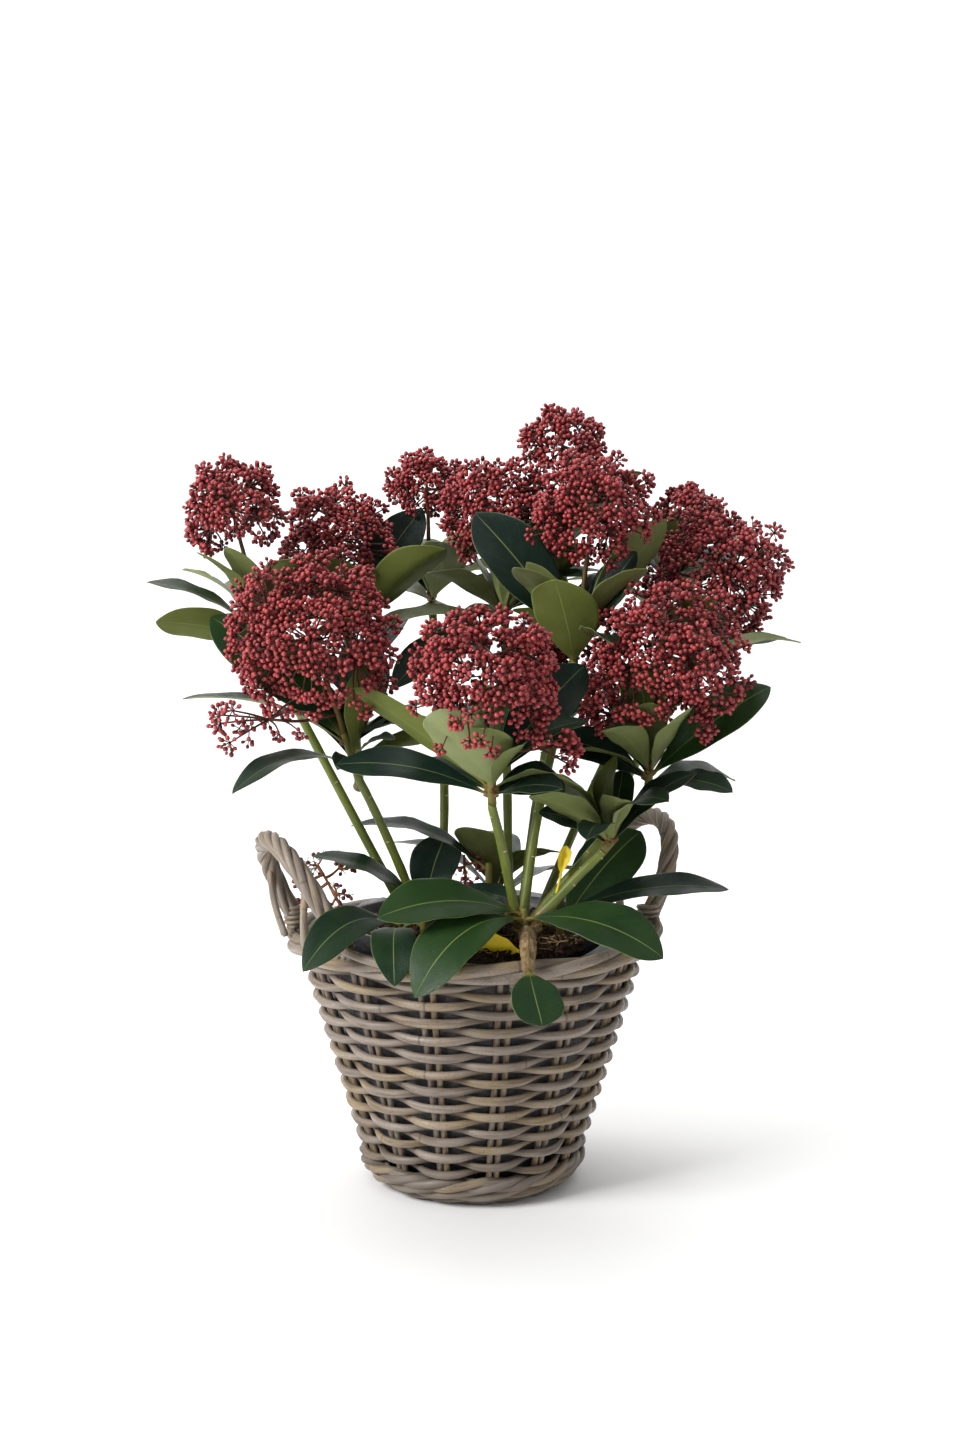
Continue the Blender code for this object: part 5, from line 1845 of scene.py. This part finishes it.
@dataclass
class LeafMasses:
    """The leaves of every whorl and the short twigs that carry them."""

    layout: Layout
    stations: int = 24
    across: int = 9

    def build(self) -> None:
        """Make one piece of leaves and one of twig for each mass."""
        for index, (node, leaves) in enumerate(self.layout.leaves.items()):
            blades = Shape()
            for number, (root, leaf) in enumerate(leaves):
                chance = Random(1000 + 40 * index + number)
                self.blade(blades, root, leaf, chance)
            blades.piece(node + "_blades", LEAF, [node])
            self.twig(node, leaves)

    def blade(self, shape: Shape, root: Vector, leaf: Leaf, chance: Random) -> None:
        """Add one leaf with its fold, midrib and waved edge.

        Args:
            shape: What to add it to.
            root: Where it grows.
            leaf: The leaf.
            chance: Its random numbers.
        """
        ahead, level = aim(leaf.heading, leaf.lift), aim(leaf.heading + 90.0, 0.0)
        up = ahead.cross(level)
        half = 0.5 * leaf.width
        plump = min(1.0, max(0.0, 2.5 * (leaf.width / leaf.length - 0.45)))
        phase, waves = chance.uniform(0.0, 6.28), chance.uniform(2.2, 3.6)
        lean = chance.uniform(-8.0, 8.0)
        bend = chance.uniform(-2.5, 2.5)
        droop = chance.uniform(0.0, 2.5)
        spread = np.sin(np.linspace(0.5 * np.pi, -0.5 * np.pi, self.across))
        sides = np.concatenate([spread, spread[::-1]])
        under = np.repeat([0.0, 1.0], self.across)
        rings, runs = [], []
        for k in range(self.stations + 1):
            share = 0.5 - 0.5 * cos(pi * (k / self.stations) ** 0.9)
            opened = self.outline(share, plump)
            wide = max(opened * half, 0.25)
            wide = max(wide, 1.25 * (1.0 - share / 0.14)) if share < 0.14 else wide
            bow = 4.0 * leaf.arch * share * (1.0 - share) - droop * share**4
            sway = bend * sin(pi * share)
            middle = root + (ahead * leaf.length * share + up * bow + level * sway) * MM
            turn = spun(leaf.roll + lean * (share - 0.4), ahead)
            side, face = turn @ level, turn @ up
            ring = []
            for s, below in zip(sides, under):
                away = abs(s)
                rise = leaf.fold * wide * opened * away**1.2
                beat = waves * 6.28 * share + phase + (1.6 if s > 0 else 0.0)
                wave = 0.8 * opened * away**3 * sin(beat)
                rib = -0.35 * exp(-((away * wide / 1.3) ** 2)) * (1.0 if share > 0.1 else 0.2)
                thick = 0.10 + 0.42 * (1.0 - away**2) + 0.7 * max(0.0, 1.0 - share / 0.1)
                lift = rise + wave + rib + thick * (-1.1 if below else 1.0)
                ring.append(middle + (side * wide * s + face * lift) * MM)
            rings.append(ring)
            runs.append([share])
        tone, warm = leaf.look.value
        tone = min(1.0, max(0.0, tone + chance.uniform(-0.12, 0.12)))
        shape.loft(np.array(rings), run=runs, side=sides, under=under, tone=tone, warm=warm)

    @staticmethod
    def outline(share: float, plump: float) -> float:
        """The half width of a blade along it, from 0 to 1, rounder when plump."""
        if share < 0.6:
            return sin(0.5 * pi * (share / 0.6) ** (1.15 - 0.35 * plump)) ** 1.1
        return max(0.0, cos(0.5 * pi * ((share - 0.6) / 0.4) ** (1.6 + 0.6 * plump))) ** 0.75

    def twig(self, node: str, leaves: Sequence[tuple[Vector, Leaf]]) -> None:
        """Make the short twig of a whorl, swollen at each leaf's root.

        Args:
            node: The whorl's node.
            leaves: Its leaves and their roots.
        """
        start, ahead, length = self.layout.twigs[node.removeprefix("leaves_")]
        shape = Shape()
        line = [start + ahead * length * k / 8 for k in range(9)]
        radii = [TWIG_RADIUS * (1.05 - 0.25 * k / 8) for k in range(9)]
        if node == "leaves_rim":
            radii = [1.4 * MM] * 9
        shape.tube(line, radii, 12, warm=0.1, tone=0.4)
        for root, leaf in leaves:
            way = aim(leaf.heading, leaf.lift)
            inner = root - aim(leaf.heading, 0.0) * 2.0 * MM
            joint = [inner, root + way * 2.0 * MM, root + way * 4.5 * MM]
            shape.tube(joint, [1.9 * MM, 1.6 * MM, 1.1 * MM], 8, warm=0.9, tone=0.5)
        shape.piece(node + "_twig", LEAF_TWIG)


@dataclass
class Bunch:
    """What one head gathers: its stalks, and where its buds and their thin stalks go."""

    chance: Random
    bare: float = 0.0
    stalks: Shape = field(default_factory=Shape)
    stems: list[Matrix] = field(default_factory=list)
    buds: list[Matrix] = field(default_factory=list)
    tones: list[float] = field(default_factory=list)
    middles: list[Vector] = field(default_factory=list)

    def arm(self, points: Sequence[Vector], first: float, last: float, warm: float) -> None:
        """Add a stalk that tapers from one radius in millimetres to another."""
        line = smooth_line(points, 3)
        self.stalks.tube(line, np.linspace(first, last, len(line)) * MM, 6, warm=warm, tone=0.3)

    def umbel(self, foot: Vector, ahead: Vector, size: float, many: int, cap: float) -> None:
        """Add a round bunch of buds on thin stalks.

        Args:
            foot: Where its stalks part.
            ahead: Where it faces.
            size: How long they are.
            many: How many they are.
            cap: How far round they reach, from 0 to 2.
        """
        side = ahead.orthogonal().normalized()
        start = self.chance.uniform(0.0, 360.0)
        for k in range(many):
            level = 1.0 - cap * (k + 0.3) / many
            ring = level_ring(level)
            turn = spun(start + GOLDEN_ANGLE * k, ahead)
            out = (turn @ side * ring + ahead * level).normalized()
            far = size * self.chance.uniform(0.82, 1.2)
            radius = self.chance.uniform(1.3, 1.85) * MM
            self.stems.append(set_up(foot, out, 0.34 * MM, far))
            if self.chance.random() < self.bare:
                continue
            self.buds.append(set_up(foot + out * far, out, radius, radius * self.chance.uniform(1.0, 1.2)))
            self.tones.append(self.chance.random())


@dataclass
class FlowerHeads:
    """Every head: its stalk, its side branches and its dome of round buds."""

    layout: Layout
    bud_levels: Pairs = ((0.45, -0.95), (0.95, -0.35), (0.95, 0.35), (0.45, 0.95))
    stalk_levels: Pairs = ((1.0, 0.0), (1.2, 1.0))
    umbel_gap: float = 7.0 * MM
    density: float = 150.0

    def build(self) -> None:
        """Make the buds and the stalks of each head as pieces of their own."""
        bud, stalk = Form(self.bud_levels, 6), Form(self.stalk_levels, 3)
        spreads = {shoot.flowers: shoot.spread for shoot in SHOOTS}
        for index, (node, branches) in enumerate(self.layout.branches.items()):
            dried = node not in spreads
            bunch = Bunch(Random(2000 + index), 0.6 if dried else 0.0)
            base, top = self.layout.stalks[node]
            line = []
            for k in range(13):
                shift = Vector((wander(index, k * 0.4, 0.8), wander(index + 3, k * 0.4, 0.8), 0.0)) * MM
                line.append(base.lerp(top, 0.9 * k / 12) + shift)
            radii = np.linspace(1.5 if dried else 2.2, 0.9, 13) * MM
            bunch.stalks.tube(line, radii, 10, warm=np.linspace(0.0, 0.8, 13), tone=0.4)
            for branch, size in branches:
                self.side_branch(bunch, branch, size, dried)
            if not dried:
                bunch.umbel(line[-1], (top - base).normalized(), 5.5 * MM, 9, 1.1)
                self.dome(bunch, node, spreads[node])
            bunch.stalks.copies(stalk, bunch.stems, warm=[0.95] * len(bunch.stems))
            bunch.stalks.piece(node + "_stalks", DRY_TWIG if dried else TWIG)
            buds = Shape()
            buds.copies(bud, bunch.buds, tone=bunch.tones)
            buds.piece(node + "_buds", DRY_BUD if dried else BUD, [node])

    @staticmethod
    def side_branch(bunch: Bunch, branch: Branch, size: float, dried: bool) -> None:
        """Add one side branch with its four clusters and a tuft on each arm.

        Args:
            bunch: What it gathers.
            branch: The side branch.
            size: The size of a cluster.
            dried: Whether it belongs to a dead head.
        """
        joint, fork, chance = branch.joint, branch.fork, bunch.chance
        bow = joint.lerp(fork, 0.5) - Vector((0.0, 0.0, 0.06 * (fork - joint).length))
        bunch.arm([joint, bow, fork], 1.3, 0.95, 0.6 if dried else 0.85)
        for place in branch.places:
            way = (place - fork).normalized()
            near = place - way * size * 0.6
            bunch.arm([fork, fork.lerp(near, 0.5) + branch.side * 0.8 * MM, near], 0.85, 0.6, 0.9)
            bunch.umbel(near, way, size, 4 if dried else round(8 + 0.8 * size / MM), 1.2)
            bunch.middles.append(place)
            tuft = fork.lerp(near, chance.uniform(0.35, 0.6))
            out = Vector((chance.gauss(0, 1), chance.gauss(0, 1), chance.gauss(0, 1))).normalized()
            out = (way + out * 1.1).normalized()
            bunch.stems.append(set_up(tuft, out, 0.45 * MM, size * 0.8))
            bunch.umbel(tuft + out * size * 0.8, out, size * 0.6, 2 if dried else 5, 1.2)

    def dome(self, bunch: Bunch, node: str, spread: float) -> None:
        """Fill a head's dome with small umbels wherever there is room.

        Args:
            bunch: What it gathers.
            node: Its node.
            spread: Its half width in millimetres.
        """
        base, crown = self.layout.stalks[node]
        ahead, reach = (crown - base).normalized(), spread * MM
        side = ahead.orthogonal().normalized()
        depth = min(0.92 * reach, 0.8 * (crown - base).length)
        centre = crown - ahead * depth
        forks = [branch.fork for branch, _ in self.layout.branches[node]] + [base.lerp(crown, 0.7)]
        many = round(self.density * (spread / 48.0) ** 2)
        gap = self.umbel_gap * (1.0 if spread > 42.0 else 1.15)
        for k in range(many):
            level = 1.0 - 1.7 * (k + 0.5) / many
            ring = level_ring(level)
            around_it = spun(GOLDEN_ANGLE * k, ahead) @ side * ring
            where = around_it * 1.9 + ahead * level * 1.9 + Vector((spread, 0.0, 0.0))
            lobe = 0.97 + 0.3 * noise.noise(where)
            share = (lobe if k % 4 else 0.68) * bunch.chance.uniform(0.88, 1.02)
            drop = 1.35 if level < 0.0 else 1.0
            place = centre + (around_it * reach + ahead * level * depth * drop) * share
            outward = (around_it + ahead * (level + 0.15)).normalized()
            if any((place - other).length < gap for other in bunch.middles):
                continue
            foot = place - outward * 4.5 * MM
            shell = rod_shell(foot, place + outward * MM, 2.5 * MM, 4.5 * MM, 5)
            if not self.layout.room.is_free(node, shell):
                continue
            bunch.middles.append(place)
            fork = min(forks, key=lambda other: (other - foot).length)
            sag = outward * 0.12 * (foot - fork).length
            bunch.arm([fork, fork.lerp(foot, 0.5) - sag, foot], 0.8, 0.5, 0.92)
            bunch.umbel(foot, outward, 4.9 * MM, bunch.chance.randint(7, 9), 0.95)


@dataclass
class LooseLeaves:
    """The fallen yellow leaf, and the small curled one on its stalk."""

    masses: LeafMasses

    def build(self) -> None:
        """Make both leaves."""
        fallen = Shape()
        leaf = Leaf(0.0, 173, 2, 28, 20, 62, 2, fold=0.15)
        x, y, z = FALLEN_PLACE
        self.masses.blade(fallen, spot((x + 2.0, y - 22.0, z - 1.5)), leaf, Random(3))
        fallen.piece("fallen_leaf_blade", YELLOW, ["fallen_leaf"])
        curled = Shape()
        points = [spot(point) for point in ((47.0, -75.0, 200.5), (56.0, -76.0, 216.0), (61.0, -75.0, 234.0))]
        curled.tube(smooth_line(points, 4), [0.8 * MM] * 9, 6)
        self.masses.blade(curled, points[-1], Leaf(0.0, 60, 72, 21, 9, 40, -3, fold=1.1), Random(5))
        curled.piece("curled_leaf", YELLOW)


# Studio


@dataclass
class Studio:
    """The floor, the light and the camera."""

    camera_place: Triple = (0.0058, -1.2238, 0.4342)
    camera_down: float = radians(4.665)
    lens: float = 42.5

    def build(self) -> None:
        """Set it up."""
        self.camera()
        self.floor()
        self.lights()

    def camera(self) -> None:
        """Make the camera that looks at the show side."""
        data = bpy.data.cameras.new("camera")
        data.lens = self.lens
        data.sensor_width = 36.0
        camera = new_object("camera", data)
        tilt = Matrix.Rotation(radians(90.0) - self.camera_down, 4, "X")
        placed = Matrix.Translation(self.camera_place) @ tilt
        camera.matrix_world = Matrix.Rotation(PLANT_TURN, 4, "Z") @ placed
        bpy.context.scene.camera = camera

    def floor(self) -> None:
        """Make the floor, which sweeps up behind the object."""
        profile = [(-4.0, 0.0), (2.0, 0.0)]
        for k in range(1, 13):
            turn = 0.5 * pi * k / 12
            profile.append((2.0 + 1.5 * sin(turn), 1.5 - 1.5 * cos(turn)))
        profile.append((3.5, 4.5))
        mesh = bpy.data.meshes.new("floor")
        points = [spot((x / MM, y / MM, z / MM - 0.4)) for y, z in profile for x in (-6.0, 6.0)]
        faces = [(2 * k, 2 * k + 1, 2 * k + 3, 2 * k + 2) for k in range(len(profile) - 1)]
        mesh.from_pydata(points, [], faces)
        mesh.shade_smooth()
        mesh.materials.append(FLOOR.material())
        floor = new_object("studio_floor", mesh)

    def lights(self) -> None:
        """Make the soft light."""
        world = bpy.data.worlds.new("room")
        world.use_nodes = True
        background = world.node_tree.nodes["Background"]
        background.inputs["Color"].default_value = (1.0, 1.0, 1.0, 1.0)
        background.inputs["Strength"].default_value = 0.38
        bpy.context.scene.world = world
        for name, place, target, size, power in (
            ("key", (-1.6, -1.1, 1.35), (0.0, 0.0, 0.3), 0.9, 56.0),
            ("fill", (1.3, -1.1, 0.7), (0.0, 0.0, 0.3), 1.2, 1.5),
            ("top", (0.1, 0.3, 1.8), (0.0, 0.0, 0.3), 1.0, 10.0),
            ("backdrop", (0.0, 1.2, 2.6), (0.0, 3.4, 0.9), 3.0, 90.0),
        ):
            data = bpy.data.lights.new(name, "AREA")
            data.size = size
            data.energy = power
            light = new_object(name, data)
            light.location = spot(place) / MM
            away = spot(target) / MM - light.location
            light.rotation_mode = "QUATERNION"
            light.rotation_quaternion = away.to_track_quat("-Z", "Y")
        bpy.context.scene.view_settings.view_transform = "Standard"


def main() -> None:
    """Build the sub-assemblies in order."""
    logging.basicConfig(level=logging.INFO, format="%(message)s")
    handles = (RopeHandle(-1.0, "handle_left"), RopeHandle(1.0, "handle_right"))
    layout = Layout()
    masses = LeafMasses(layout)
    basket = (BasketWall(), BORDER, BasketFoot(), *handles, BasketLiner(), NurseryPot(), PeatBed())
    plant = (layout, WoodyFoot(), Stems(layout), masses, FlowerHeads(layout), LooseLeaves(masses))
    for part in (Studio(), *basket, *plant):
        part.build()


if __name__ == "__main__":
    main()
